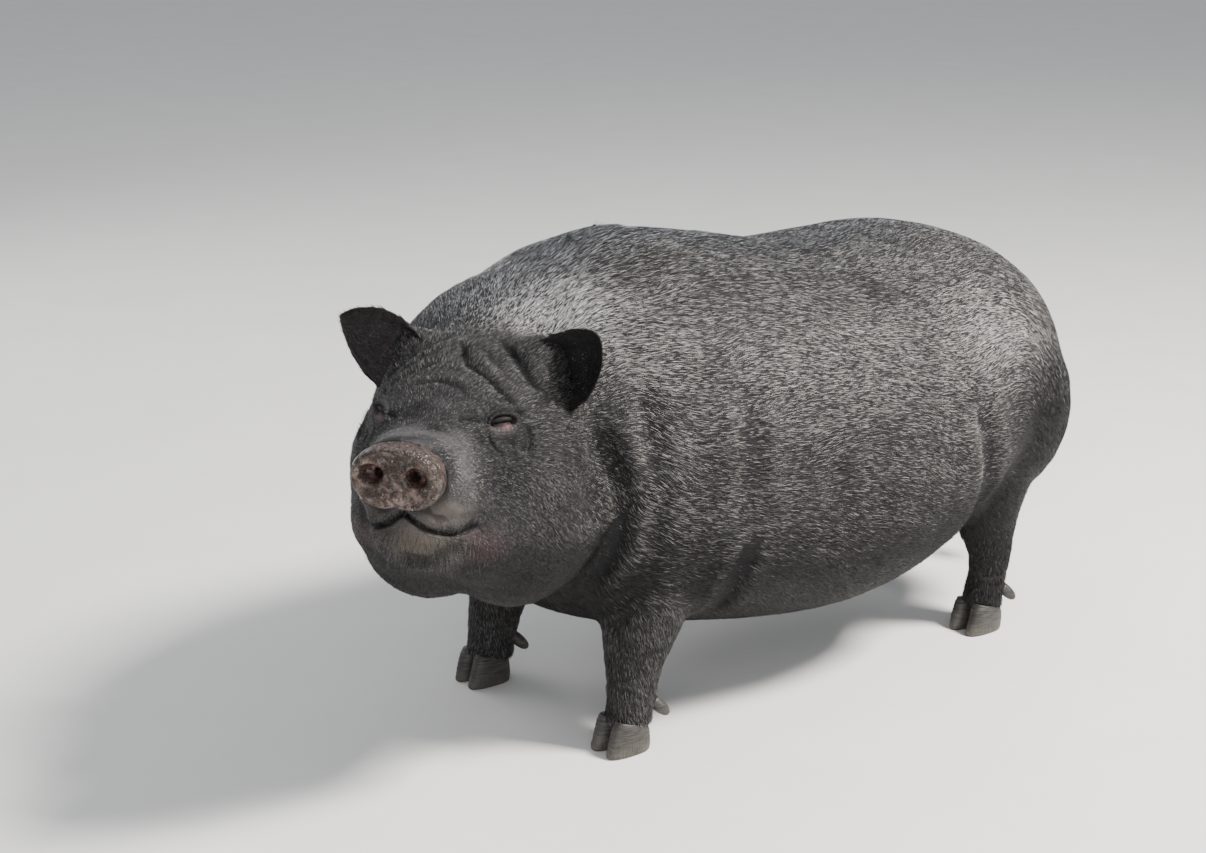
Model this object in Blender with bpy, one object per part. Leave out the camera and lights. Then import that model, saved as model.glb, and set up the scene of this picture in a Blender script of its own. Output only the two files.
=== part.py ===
"""Vietnamese pot-bellied pig, standing, as a still life-size model.

Metres, +Z up. The pig faces -Y, its left side is +X, and the soles stand at Z = 0.
The head is turned to its left and raised a little. The body is modelled whole, worked over
with folds and creases, and parted with thin cuts into head, neck, torso, legs, ears and tail.
Head axes have their origin between the ears, forward is -Y and up is +Z.
"""

import math
import random

import bmesh
import bpy
import numpy as np
from mathutils import Matrix, Vector
from mathutils.bvhtree import BVHTree
from mathutils.kdtree import KDTree

AXIS_X = Vector((1.0, 0.0, 0.0))
AXIS_Y = Vector((0.0, 1.0, 0.0))
AXIS_Z = Vector((0.0, 0.0, 1.0))
SIDES = (("left", 1), ("right", -1))

# Where the animal's own zero stands, so that the footprint's middle is at the origin
STAND = Vector((0.0, 0.022, 0.0))

# Gaps and mesh sizes
GAP = 0.0003
VOXEL = 0.005
SMOOTH_STEPS = 14
CHEEK_SMOOTH_STEPS = 40
CHEEK_FRONT = -0.105
CHEEK_FADE = 0.03
RING_POINTS = 40
LEG_RING_POINTS = 28
BODY_TRIANGLES = 7000
HEAD_KEEP = 0.20
HEAD_BACK = 0.06
KEEP_STRENGTH = 0.00003

# Torso: station along Y, top, bottom, half width, height of the widest place
TORSO_ROWS = (
    (-0.345, 0.400, 0.230, 0.085, 0.310),
    (-0.305, 0.470, 0.165, 0.142, 0.300),
    (-0.240, 0.509, 0.122, 0.178, 0.285),
    (-0.150, 0.525, 0.098, 0.200, 0.275),
    (-0.055, 0.508, 0.078, 0.216, 0.260),
    (0.055, 0.488, 0.066, 0.226, 0.252),
    (0.160, 0.486, 0.078, 0.222, 0.260),
    (0.250, 0.487, 0.125, 0.205, 0.280),
    (0.335, 0.468, 0.185, 0.182, 0.298),
    (0.405, 0.428, 0.215, 0.145, 0.305),
    (0.444, 0.372, 0.255, 0.090, 0.312),
    (0.462, 0.332, 0.290, 0.035, 0.312),
)
# Hams and buttocks: centre and radii, paired
HAM_BALLS = (
    ((0.082, 0.335, 0.270), (0.106, 0.108, 0.128)),
)
TORSO_POWERS = (0.92, 0.86)

# Neck: centre X, Y, Z, half width, reach up, reach down
NECK_ROWS = (
    (0.000, -0.150, 0.300, 0.165, 0.200, 0.165),
    (0.004, -0.230, 0.310, 0.165, 0.196, 0.160),
    (0.018, -0.300, 0.325, 0.150, 0.180, 0.150),
    (0.050, -0.350, 0.335, 0.115, 0.135, 0.120),
)

# Head: where it sits and how it is turned
HEAD_PLACE = Vector((0.072, -0.365, 0.360))
HEAD_YAW = math.radians(35.5)
HEAD_PITCH = math.radians(12.0)

# Head masses: centre and radii; the ones off the middle are paired
HEAD_BALLS = (
    ((0.000, 0.020, 0.004), (0.112, 0.118, 0.098)),
    ((0.000, -0.045, -0.006), (0.090, 0.090, 0.080)),
    ((0.040, -0.018, -0.035), (0.076, 0.096, 0.084)),
    ((0.042, 0.004, -0.085), (0.075, 0.096, 0.084)),
    ((0.034, -0.048, -0.074), (0.066, 0.082, 0.066)),
    ((0.050, -0.058, 0.020), (0.036, 0.034, 0.026)),
    ((0.064, -0.008, 0.074), (0.030, 0.026, 0.030)),
    ((0.000, -0.100, -0.080), (0.056, 0.062, 0.042)),
    ((0.000, -0.128, -0.073), (0.044, 0.036, 0.028)),
    ((0.030, -0.128, -0.044), (0.030, 0.040, 0.026)),
)
# Muzzle: distance forward, height, half width, reach up, reach down
MUZZLE_ROWS = (
    (0.020, -0.014, 0.082, 0.064, 0.075),
    (0.080, -0.018, 0.069, 0.050, 0.060),
    (0.132, -0.022, 0.053, 0.038, 0.044),
    (0.186, -0.026, 0.044, 0.034, 0.034),
)

# Folds: name, width, depth, then points on or near the skin; head folds are in head axes
HEAD_FOLDS = (
    ("brow", 0.0065, 0.0042, ((-0.003, -0.042, 0.083), (0.011, -0.063, 0.073),
                              (0.023, -0.071, 0.062), (0.041, -0.075, 0.054),
                              (0.052, -0.077, 0.044), (0.067, -0.077, 0.031))),
    ("before ear", 0.0055, 0.0040, ((0.022, -0.014, 0.092), (0.038, -0.028, 0.082),
                                    (0.053, -0.038, 0.068), (0.068, -0.043, 0.054),
                                    (0.083, -0.039, 0.044))),
    ("inner eye", 0.0045, 0.0028, ((0.030, -0.122, 0.021), (0.037, -0.117, 0.022),
                                   (0.047, -0.109, 0.021))),
    ("under lid", 0.0045, 0.0028, ((0.061, -0.104, 0.008), (0.066, -0.099, 0.002),
                                   (0.076, -0.094, -0.001), (0.084, -0.084, 0.003))),
    ("low swirl", 0.0045, 0.0020, ((0.056, -0.108, 0.006), (0.063, -0.107, -0.005),
                                   (0.074, -0.100, -0.011), (0.086, -0.086, -0.009))),
    ("chin", 0.0065, 0.0032, ((-0.004, -0.154, -0.100), (0.012, -0.148, -0.102),
                              (0.028, -0.141, -0.097), (0.044, -0.132, -0.088))),
    ("mouth corner", 0.0060, 0.0050, ((0.044, -0.134, -0.077), (0.055, -0.125, -0.071),
                                      (0.063, -0.118, -0.060))),
)
BODY_FOLDS = (
    ("jowl", 0.0120, 0.0100, ((0.150, -0.286, 0.370), (0.166, -0.265, 0.315),
                              (0.169, -0.260, 0.284), (0.161, -0.268, 0.247),
                              (0.146, -0.277, 0.218), (0.120, -0.284, 0.185))),
    ("neck", 0.0130, 0.0032, ((0.157, -0.230, 0.407), (0.173, -0.233, 0.351),
                              (0.179, -0.234, 0.291), (0.172, -0.234, 0.226))),
    ("shoulder", 0.0150, 0.0026, ((0.183, -0.123, 0.395), (0.199, -0.127, 0.337),
                                  (0.202, -0.135, 0.254))),
    ("elbow", 0.0100, 0.0060, ((0.196, -0.120, 0.225), (0.180, -0.135, 0.175),
                               (0.140, -0.130, 0.125))),
    ("flank", 0.0150, 0.0050, ((0.214, 0.190, 0.330), (0.216, 0.215, 0.260),
                               (0.190, 0.225, 0.190), (0.150, 0.225, 0.140))),
)
FOLD_STEPS = 12
FOLD_REACH = 0.05
FOLD_SWELL = 0.35

# Line of the mouth in head axes, from the middle to the corner
MOUTH_ROWS = (
    (0.000, -0.160, -0.060),
    (0.014, -0.158, -0.068),
    (0.034, -0.148, -0.077),
    (0.046, -0.133, -0.077),
    (0.056, -0.125, -0.070),
)
MOUTH_AXIS = Vector((0.0, -0.085, 0.0))
MOUTH_REACH = (0.016, 0.020)
MOUTH_OPEN = 0.0010

# Snout disc at the muzzle's tip
SNOUT_FORWARD = 0.170
SNOUT_HEIGHT = -0.024
SNOUT_TILT = math.radians(-15.0)
SNOUT_HALF_WIDTH = 0.0430
SNOUT_HALF_HEIGHT = 0.0305
SNOUT_POINTS = 28
SNOUT_POWERS = (0.92, 0.88)
SNOUT_NOTCH = 0.0035
SNOUT_NOTCH_WIDTH = 0.22
SNOUT_CUT_SIZE = (0.120, 0.100, 0.086)
# Snout rings: distance forward of the back face, share of the full outline
SNOUT_ROWS = (
    (0.0000, 0.900),
    (0.0040, 0.960),
    (0.0100, 1.000),
    (0.0160, 0.985),
    (0.0195, 0.920),
    (0.0200, 0.820),
    (0.0185, 0.680),
    (0.0185, 0.300),
)
NOSTRIL_PLACE = Vector((0.0212, -0.0215, 0.0012))
NOSTRIL_RADII = (0.0104, 0.0140, 0.0096)
NOSTRIL_TOE = math.radians(14.0)

# Eyes; the face is a little turned on the skull, so each side has its own distance out
EYE_ACROSS = {1: 0.0620, -1: 0.0400}
EYE_PLACE = Vector((0.0, -0.0930, 0.0210))
EYE_RADIUS = 0.0115
EYE_SUNK = 0.0022
EYE_OUTWARD = math.radians(40.0)
EYE_UPWARD = math.radians(8.0)
EYE_SLIT_HALF_LENGTH = 0.0105
EYE_SLIT_HALF_HEIGHT = 0.0036
EYE_SLIT_POINTS = 16
EYE_SLIT_TURN = math.radians(-8.0)
EYE_SLIT_DEPTHS = (-0.002, -0.0415)
# Fullness of the slit at its middle, and how much of it is lost toward the corners
EYE_SLIT_SHAPE = (1.15, 0.55)
# How far out the search for the skin before an eye starts
EYE_SEARCH = 0.20
# Lids: height of the lid roll at the middle, roll radius, how far it stands out, points along it
LID_HEIGHTS = {1: 0.0062, -1: -0.0058}
LID_RADIUS = 0.0030
LID_OUT = 0.0004
LID_HALF_LENGTH = 0.0135
LID_END_SUNK = 0.004
LID_END_SHARE = 0.45
LID_STEPS = 8
LID_POINTS = 6

# Ears
EAR_ROOT = Vector((0.066, -0.018, 0.056))
EAR_SUNK = 0.018
EAR_LENGTH = 0.078
EAR_HALF_WIDTH = 0.036
EAR_TIP_HALF = 0.0022
# Outline from root to tip: powers of its narrowing, share of the width at the root, its growth
EAR_OUTLINE = (2.1, 0.80, 0.92, 0.42)
EAR_THICK = 0.0045
# Loss of thickness toward the tip and toward the rims
EAR_THINNING = (0.45, 0.5)
# How far the tip curls forward and sweeps across
EAR_CURL = 0.010
EAR_SWEEP = {1: 0.024, -1: 0.006}
# How far the cup's axis lies ahead of the leaf, as a share
EAR_AXIS_SHARE = 0.6
# How far round the cup goes at the root and at the tip, from its middle line
EAR_WRAP = (88.0, 40.0)
# The left ear is laid lower than the right one
EAR_OUT = {1: math.radians(76.0), -1: math.radians(54.0)}
EAR_BACK = math.radians(-8.0)
EAR_OPEN_OUT = math.radians(20.0)
EAR_ROWS = 9
EAR_COLUMNS = 8

# Legs: X, Y, Z, half width across, reach forward, reach back
FORELEG_ROWS = (
    (0.105, -0.185, 0.300, 0.070, 0.080, 0.085),
    (0.115, -0.194, 0.200, 0.056, 0.060, 0.068),
    (0.118, -0.204, 0.140, 0.043, 0.044, 0.052),
    (0.119, -0.214, 0.095, 0.032, 0.034, 0.036),
    (0.120, -0.218, 0.070, 0.028, 0.029, 0.030),
    (0.120, -0.222, 0.045, 0.026, 0.026, 0.029),
    (0.120, -0.230, 0.005, 0.026, 0.028, 0.028),
)
HINDLEG_ROWS = (
    (0.100, 0.295, 0.320, 0.080, 0.110, 0.095),
    (0.116, 0.302, 0.220, 0.064, 0.078, 0.080),
    (0.122, 0.302, 0.160, 0.046, 0.052, 0.055),
    (0.124, 0.306, 0.120, 0.033, 0.036, 0.040),
    (0.125, 0.311, 0.085, 0.026, 0.027, 0.030),
    (0.125, 0.304, 0.050, 0.025, 0.026, 0.027),
    (0.125, 0.296, 0.005, 0.025, 0.027, 0.027),
)
# The far foreleg stands a little ahead of the near one
FORELEG_STEP = {"left": 0.0, "right": -0.018}
STEP_TOP = 0.20
STEP_RANGE = 0.14
LEG_KINDS = (("foreleg", FORELEG_ROWS), ("hindleg", HINDLEG_ROWS))

# Where the belly is cut from the legs: offset under the torso's surface, angles on its ring
LEG_CUT_OFFSET = 0.006
LEG_CUT_ANGLES = (-78.0, -14.0)
LEG_CUT_REACH = 0.100
LEG_CUT_STEPS = 7
HINDLEG_CUT = (0.125, 0.308, 0.124)
HINDLEG_CUT_SIZE = (0.120, 0.100)

# Feet: coronet height at the foot's middle, slope, claws and dewclaws
CORONET_HEIGHT = 0.030
CORONET_SLOPE = 0.22
FOOT_CUT_SIZE = (0.12, 0.12, 0.10)
CLAW_SPREAD = 0.0135
CLAW_POINTS = 16
CLAW_POWERS = (0.85, 0.80)
# Claw rings: share of the height, half width, reach forward, reach back
CLAW_ROWS = (
    (0.00, 0.0108, 0.0300, 0.0200),
    (0.12, 0.0116, 0.0305, 0.0212),
    (0.55, 0.0122, 0.0262, 0.0218),
    (1.00, 0.0118, 0.0215, 0.0210),
)
DEWCLAW_HEIGHT = 0.046
DEWCLAW_SPREAD = 0.0130
DEWCLAW_SUNK = 0.0050
# Dewclaw rings: distance from the root, radius
DEWCLAW_ROWS = ((0.0, 0.0068), (0.010, 0.0070), (0.018, 0.0056), (0.024, 0.0024))
DEWCLAW_POINTS = 8
DEWCLAW_AIM = Vector((0.35, 0.62, -0.70))
DEWCLAW_SEARCH = 0.08

# Tail: centre X, Y, Z, radius
TAIL_ROWS = (
    (0.000, 0.410, 0.376, 0.0210),
    (0.000, 0.454, 0.360, 0.0175),
    (0.002, 0.482, 0.322, 0.0140),
    (0.006, 0.489, 0.265, 0.0110),
    (0.009, 0.486, 0.205, 0.0088),
    (0.011, 0.481, 0.170, 0.0074),
)
TAIL_POINTS = 10
TASSEL_LOCKS = 8
TASSEL_LENGTH = 0.080
TASSEL_HALF_WIDTH = 0.0055
# Core rings: distance down, share of the tail's radius
TASSEL_CORE = ((0.0, 1.0), (0.012, 0.95), (0.026, 0.62), (0.038, 0.16))
# Lock roots: first distance down, step between rows, share of the radius
TASSEL_ROOTS = (0.009, 0.006, 0.72)

# Cuts between head, neck and torso: a point on the cut, its turn about Z and its lean
NECK_CUT_FRONT = (Vector((0.050, -0.278, 0.330)), math.radians(15.0), math.radians(-6.0))
NECK_CUT_BACK = (Vector((0.000, -0.205, 0.300)), math.radians(4.0), math.radians(-17.0))
NECK_CUT_HALF = 0.34

# Bristle crest: locks along the nape and withers
CREST_LOCKS = 34
CREST_FROM = -0.300
CREST_TO = 0.020
CREST_SPREAD = 0.030
CREST_LENGTH = 0.048
CREST_WIDTH = 0.0100
CREST_JITTER = 0.004
LOCK_THICK = 0.0016
LOCK_TIP_THICK = 0.35
# Lock rings: share of the length, share of the width, rise as a share of the length
LOCK_ROWS = ((-0.12, 0.75, -0.16), (0.15, 1.0, 0.05), (0.45, 0.85, 0.13), (0.75, 0.52, 0.15),
             (1.0, 0.08, 0.13))
# The crest leans to the left where the neck bends: start along Y, shift, over how far
CREST_BEND = (-0.20, 0.018, 0.10)
SEED = 11


def clear_scene():
    """Empty the scene before modelling."""
    for item in list(bpy.data.objects):
        bpy.data.objects.remove(item, do_unlink=True)


def material(name, colour, roughness, metallic=0.0):
    """A plain Principled finish."""
    finish = bpy.data.materials.new(name)
    finish.use_nodes = True
    shader = finish.node_tree.nodes["Principled BSDF"]
    shader.inputs["Base Color"].default_value = (*colour, 1.0)
    shader.inputs["Roughness"].default_value = roughness
    shader.inputs["Metallic"].default_value = metallic
    finish.diffuse_color = (*colour, 1.0)
    return finish


def object_from_mesh(name, mesh):
    """Link a mesh to the scene as a named object."""
    item = bpy.data.objects.new(name, mesh)
    bpy.context.collection.objects.link(item)
    return item


def object_from_bmesh(name, shape):
    """Turn an edited mesh into a named object."""
    bmesh.ops.recalc_face_normals(shape, faces=shape.faces)
    mesh = bpy.data.meshes.new(name)
    shape.to_mesh(mesh)
    shape.free()
    return object_from_mesh(name, mesh)


def loft(name, rings):
    """A closed solid through rings of points, its ends closed by fans."""
    shape = bmesh.new()
    loops = [[shape.verts.new(point) for point in ring] for ring in rings]
    count = len(loops[0])
    for near, far in zip(loops, loops[1:]):
        for i in range(count):
            j = (i + 1) % count
            shape.faces.new((near[i], near[j], far[j], far[i]))
    for loop in (loops[0], loops[-1]):
        middle = Vector((0.0, 0.0, 0.0))
        for vert in loop:
            middle += vert.co / count
        hub = shape.verts.new(middle)
        for i in range(count):
            shape.faces.new((loop[i], loop[(i + 1) % count], hub))
    return object_from_bmesh(name, shape)


def curve_through(rows, steps):
    """A smooth run of rows through a short table of key rows."""
    keys = np.array(rows, dtype=float)
    padded = np.vstack((2 * keys[0] - keys[1], keys, 2 * keys[-1] - keys[-2]))
    out = []
    for k in range(len(keys) - 1):
        a, b, c, d = padded[k:k + 4]
        for t in np.arange(steps) / steps:
            out.append(0.5 * ((2 * b) + (c - a) * t + (2 * a - 5 * b + 4 * c - d) * t ** 2
                              + (3 * b - a - 3 * c + d) * t ** 3))
    out.append(keys[-1])
    return np.array(out)


def oval_point(angle, half_width, reach_up, reach_down, powers=(1.0, 1.0)):
    """Across and up of one point on an oval whose halves differ in reach and fullness."""
    cos_a = math.cos(angle)
    sin_a = math.sin(angle)
    power = powers[0] if sin_a >= 0 else powers[1]
    reach = reach_up if sin_a >= 0 else reach_down
    across = math.copysign(abs(cos_a) ** power, cos_a) * half_width
    along = math.copysign(abs(sin_a) ** power, sin_a) * reach
    return across, along


def oval(centre, side, up, sizes, powers=(1.0, 1.0), count=RING_POINTS):
    """A ring of points about a centre; sizes are half width, reach up and reach down."""
    points = []
    for i in range(count):
        across, along = oval_point(2 * math.pi * i / count, *sizes, powers)
        points.append(Vector(centre) + side * across + up * along)
    return points


def torso_mass():
    """The barrel, sway back, hanging belly and rump."""
    rings = []
    for y, top, bottom, half_width, wide in curve_through(TORSO_ROWS, 4):
        rings.append(oval((0.0, y, wide), AXIS_X, AXIS_Z, (half_width, top - wide, wide - bottom),
                          TORSO_POWERS))
    return loft("torso_mass", rings)


def path_rings(rows, steps, count=RING_POINTS):
    """Rings square to a bent path; rows hold the centre and then one or three reaches."""
    run = curve_through(rows, steps)
    rings = []
    for k, row in enumerate(run):
        before = Vector(run[max(k - 1, 0)][:3])
        after = Vector(run[min(k + 1, len(run) - 1)][:3])
        side = (after - before).cross(AXIS_Z).normalized()
        up = side.cross(after - before).normalized()
        sizes = tuple(row[3:6]) if len(row) > 4 else (row[3], row[3], row[3])
        rings.append(oval(row[:3], side, up, sizes, count=count))
    return rings


def leg_mass(rows, mirror, step):
    """A leg through level rings."""
    rings = []
    for x, y, z, across, forward, back in curve_through(rows, 4):
        lean = step * min(1.0, max(0.0, (STEP_TOP - z) / STEP_RANGE))
        rings.append(oval((x * mirror, y + lean, z), AXIS_X * mirror, -AXIS_Y,
                          (across, forward, back), count=LEG_RING_POINTS))
    return loft("leg_mass", rings)


def ball(name, centre, radii, detail=24, turn=None):
    """An ellipsoid."""
    shape = bmesh.new()
    bmesh.ops.create_uvsphere(shape, u_segments=detail, v_segments=detail // 2, radius=1.0)
    place = Matrix.Translation(Vector(centre))
    if turn is not None:
        place = place @ turn
    bmesh.ops.transform(shape, matrix=place @ Matrix.Diagonal((*radii, 1.0)), verts=shape.verts)
    return object_from_bmesh(name, shape)


def box(name, place, size):
    """A box about a placed centre; place is a matrix."""
    shape = bmesh.new()
    bmesh.ops.create_cube(shape, size=1.0)
    bmesh.ops.transform(shape, matrix=place @ Matrix.Diagonal((*size, 1.0)), verts=shape.verts)
    return object_from_bmesh(name, shape)


def head_matrix():
    """Head axes to world."""
    turn = Matrix.Rotation(HEAD_YAW, 4, "Z") @ Matrix.Rotation(-HEAD_PITCH, 4, "X")
    return Matrix.Translation(HEAD_PLACE) @ turn


HEAD = head_matrix()


def snout_matrix():
    """Snout axes to world: origin on the disc's back face, forward -Y."""
    place = Matrix.Translation(Vector((0.0, -SNOUT_FORWARD, SNOUT_HEIGHT)))
    return HEAD @ place @ Matrix.Rotation(-SNOUT_TILT, 4, "X")


def head_masses():
    """The skull's fat and muscle: crown, cheeks, jowls, brow, chin, lips and muzzle."""
    pieces = []
    for centre, radii in HEAD_BALLS:
        for side in ((1, -1) if centre[0] else (1,)):
            place = (centre[0] * side, centre[1], centre[2])
            pieces.append(ball("head_ball", place, radii))
    rings = []
    for forward, height, half_width, reach_up, reach_down in curve_through(MUZZLE_ROWS, 4):
        rings.append(oval((0.0, -forward, height), AXIS_X, AXIS_Z, (half_width, reach_up, reach_down)))
    pieces.append(loft("muzzle_mass", rings))
    for piece in pieces:
        piece.data.transform(HEAD)
    return pieces


def apply_modifiers(item):
    """Replace an object's mesh by its worked-out mesh."""
    bpy.context.view_layer.update()
    graph = bpy.context.evaluated_depsgraph_get()
    mesh = bpy.data.meshes.new_from_object(item.evaluated_get(graph), depsgraph=graph)
    item.modifiers.clear()
    old = item.data
    item.data = mesh
    bpy.data.meshes.remove(old)


def join(name, pieces):
    """One object holding the meshes of several, which are removed."""
    shape = bmesh.new()
    for piece in pieces:
        shape.from_mesh(piece.data)
        bpy.data.objects.remove(piece, do_unlink=True)
    mesh = bpy.data.meshes.new(name)
    shape.to_mesh(mesh)
    shape.free()
    return object_from_mesh(name, mesh)


def combine(item, pieces, operation):
    """One Boolean between an object and a collection of closed mesh objects."""
    group = bpy.data.collections.new("operands")
    bpy.context.scene.collection.children.link(group)
    for piece in pieces:
        group.objects.link(piece)
    step = item.modifiers.new("combine", "BOOLEAN")
    step.operation = operation
    step.operand_type = "COLLECTION"
    step.collection = group
    apply_modifiers(item)
    for piece in pieces:
        bpy.data.objects.remove(piece, do_unlink=True)
    bpy.data.collections.remove(group)


def blend(item):
    """Melt overlapping masses into one smooth skin."""
    remesh = item.modifiers.new("melt", "REMESH")
    remesh.mode = "VOXEL"
    remesh.voxel_size = VOXEL
    smooth = item.modifiers.new("soften", "SMOOTH")
    smooth.factor = 0.5
    smooth.iterations = SMOOTH_STEPS
    apply_modifiers(item)
    inverse = HEAD.inverted()
    group = item.vertex_groups.new(name="cheeks")
    for vert in item.data.vertices:
        ahead = (inverse @ vert.co).y
        if ahead < HEAD_BACK:
            weight = min(1.0, max(0.0, (ahead - CHEEK_FRONT) / CHEEK_FADE))
            group.add([vert.index], weight * min(1.0, (HEAD_BACK - ahead) / CHEEK_FADE), "REPLACE")
    cheeks = item.modifiers.new("cheeks", "SMOOTH")
    cheeks.factor = 0.5
    cheeks.iterations = CHEEK_SMOOTH_STEPS
    cheeks.vertex_group = group.name
    apply_modifiers(item)


def fold_path(tree, points):
    """Points of a fold, smoothed and brought onto the skin."""
    run = curve_through(points, FOLD_STEPS)
    return [tree.find_nearest(Vector(point), FOLD_REACH)[0] or Vector(point) for point in run]


def press_fold(item, path, width, depth):
    """Press a groove along a path into the skin, with a low swell beside it."""
    finder = KDTree(len(path))
    for k, point in enumerate(path):
        finder.insert(point, k)
    finder.balance()
    spacing = (path[1] - path[0]).length
    ends = (path[0], path[-1])
    moves = []
    for vert in item.data.vertices:
        near, _, gap = finder.find(vert.co)
        if gap > width * 4.0:
            continue
        gap = max(0.0, gap - spacing * 0.25)
        fade = min(1.0, min((near - end).length for end in ends) / (width * 2.5) + 0.25)
        swell = FOLD_SWELL * math.exp(-((gap - 2.0 * width) / width) ** 2)
        dip = math.exp(-(gap / width) ** 2) - swell
        moves.append((vert, vert.normal * (-depth * dip * fade)))
    for vert, move in moves:
        vert.co += move


def press_folds(item):
    """All the folds of the head, both sides, and of the body."""
    for _, mirror in SIDES:
        flip = Matrix.Diagonal((mirror, 1.0, 1.0, 1.0))
        for frame, folds in ((HEAD @ flip, HEAD_FOLDS), (flip, BODY_FOLDS)):
            for _, width, depth, points in folds:
                tree = surface_tree(item)
                path = fold_path(tree, [frame @ Vector(point) for point in points])
                press_fold(item, path, width, depth)


def thin_out(item, triangles):
    """Bring the skin down to a set number of triangles, the head kept finer."""
    group = item.vertex_groups.new(name="thin")
    inverse = HEAD.inverted()
    fine = [v.index for v in item.data.vertices if (inverse @ v.co).y < HEAD_BACK]
    coarse = [v.index for v in item.data.vertices if (inverse @ v.co).y >= HEAD_BACK]
    group.add(fine, HEAD_KEEP, "REPLACE")
    group.add(coarse, 1.0, "REPLACE")
    total = sum(len(p.vertices) - 2 for p in item.data.polygons)
    reduce = item.modifiers.new("thin", "DECIMATE")
    reduce.ratio = triangles / total
    reduce.vertex_group = group.name
    reduce.vertex_group_factor = KEEP_STRENGTH
    apply_modifiers(item)


def surface_tree(item):
    """A search tree over an object's faces."""
    shape = bmesh.new()
    shape.from_mesh(item.data)
    tree = BVHTree.FromBMesh(shape)
    shape.free()
    return tree


def eye_frame(tree, side):
    """Eye centre and axes in the world: forward is -Y of the frame, along the gaze."""
    turn = Matrix.Rotation(EYE_OUTWARD * side, 4, "Z") @ Matrix.Rotation(-EYE_UPWARD, 4, "X")
    axes = HEAD @ Matrix.Translation(EYE_PLACE + AXIS_X * EYE_ACROSS[side] * side) @ turn
    gaze = -(axes.to_3x3() @ AXIS_Y)
    start = axes.translation + gaze * EYE_SEARCH
    hit = tree.ray_cast(start, -gaze)[0]
    centre = hit - gaze * (EYE_RADIUS + EYE_SUNK)
    return Matrix.Translation(centre) @ axes.to_3x3().to_4x4()


def eye_cutters(frame, side):
    """The slit between the lids and the socket behind it."""
    rings = []
    tilt = Matrix.Rotation(EYE_SLIT_TURN * side, 3, "Y")
    for depth in EYE_SLIT_DEPTHS:
        ring = []
        for i in range(EYE_SLIT_POINTS):
            angle = 2 * math.pi * i / EYE_SLIT_POINTS
            across = math.cos(angle) * EYE_SLIT_HALF_LENGTH
            fullness = EYE_SLIT_SHAPE[0] - EYE_SLIT_SHAPE[1] * abs(math.cos(angle))
            up = math.sin(angle) * EYE_SLIT_HALF_HEIGHT * fullness
            ring.append(frame @ (tilt @ Vector((across, depth, up))))
        rings.append(ring)
    slit = loft("slit", rings)
    socket = ball("socket", (0, 0, 0), (EYE_RADIUS + GAP,) * 3, detail=16)
    socket.data.transform(frame)
    return [slit, socket]


def eye_lids(frame, side):
    """Upper and lower lid rolls round the slit, sunk in the skin at their ends."""
    tilt = Matrix.Rotation(EYE_SLIT_TURN * side, 3, "Y")
    surface = EYE_RADIUS + EYE_SUNK
    lids = []
    for way, height in LID_HEIGHTS.items():
        rings = []
        for k in range(LID_STEPS + 1):
            share = 2.0 * k / LID_STEPS - 1.0
            bow = 1.0 - share * share
            radius = LID_RADIUS * (LID_END_SHARE + (1.0 - LID_END_SHARE) * bow)
            across = LID_HALF_LENGTH * share
            depth = -surface - LID_OUT * bow + LID_END_SUNK * (1.0 - bow) + radius / 4
            ring = []
            for i in range(LID_POINTS):
                angle = 2 * math.pi * i / LID_POINTS
                up = height * bow ** 0.8 + math.sin(angle) * radius
                ring.append(frame @ (tilt @ Vector((across, depth + math.cos(angle) * radius, up))))
            rings.append(ring)
        lids.append(loft("lid", rings))
    return lids


def mouth_cutter():
    """A thin ribbon between the lips, from corner to corner, thinner inward."""
    half = curve_through(MOUTH_ROWS, 3)
    whole = [Vector((-row[0], row[1], row[2])) for row in half[:0:-1]] + [Vector(row) for row in half]
    rings = []
    for point in whole:
        away = point - MOUTH_AXIS
        away = Vector((away.x, away.y, 0.0)).normalized()
        inner = point - away * MOUTH_REACH[0]
        outer = point + away * MOUTH_REACH[1]
        near_gap = AXIS_Z * MOUTH_OPEN
        deep_gap = near_gap / 3
        rings.append([HEAD @ (inner + deep_gap), HEAD @ (outer + near_gap),
                      HEAD @ (outer - near_gap), HEAD @ (inner - deep_gap)])
    return loft("mouth_cut", rings)


def ear_lean(side):
    """Which way an ear points, in head axes."""
    out = EAR_OUT[side]
    return Vector((math.sin(out) * side, math.sin(EAR_BACK), math.cos(out))).normalized()


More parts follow.
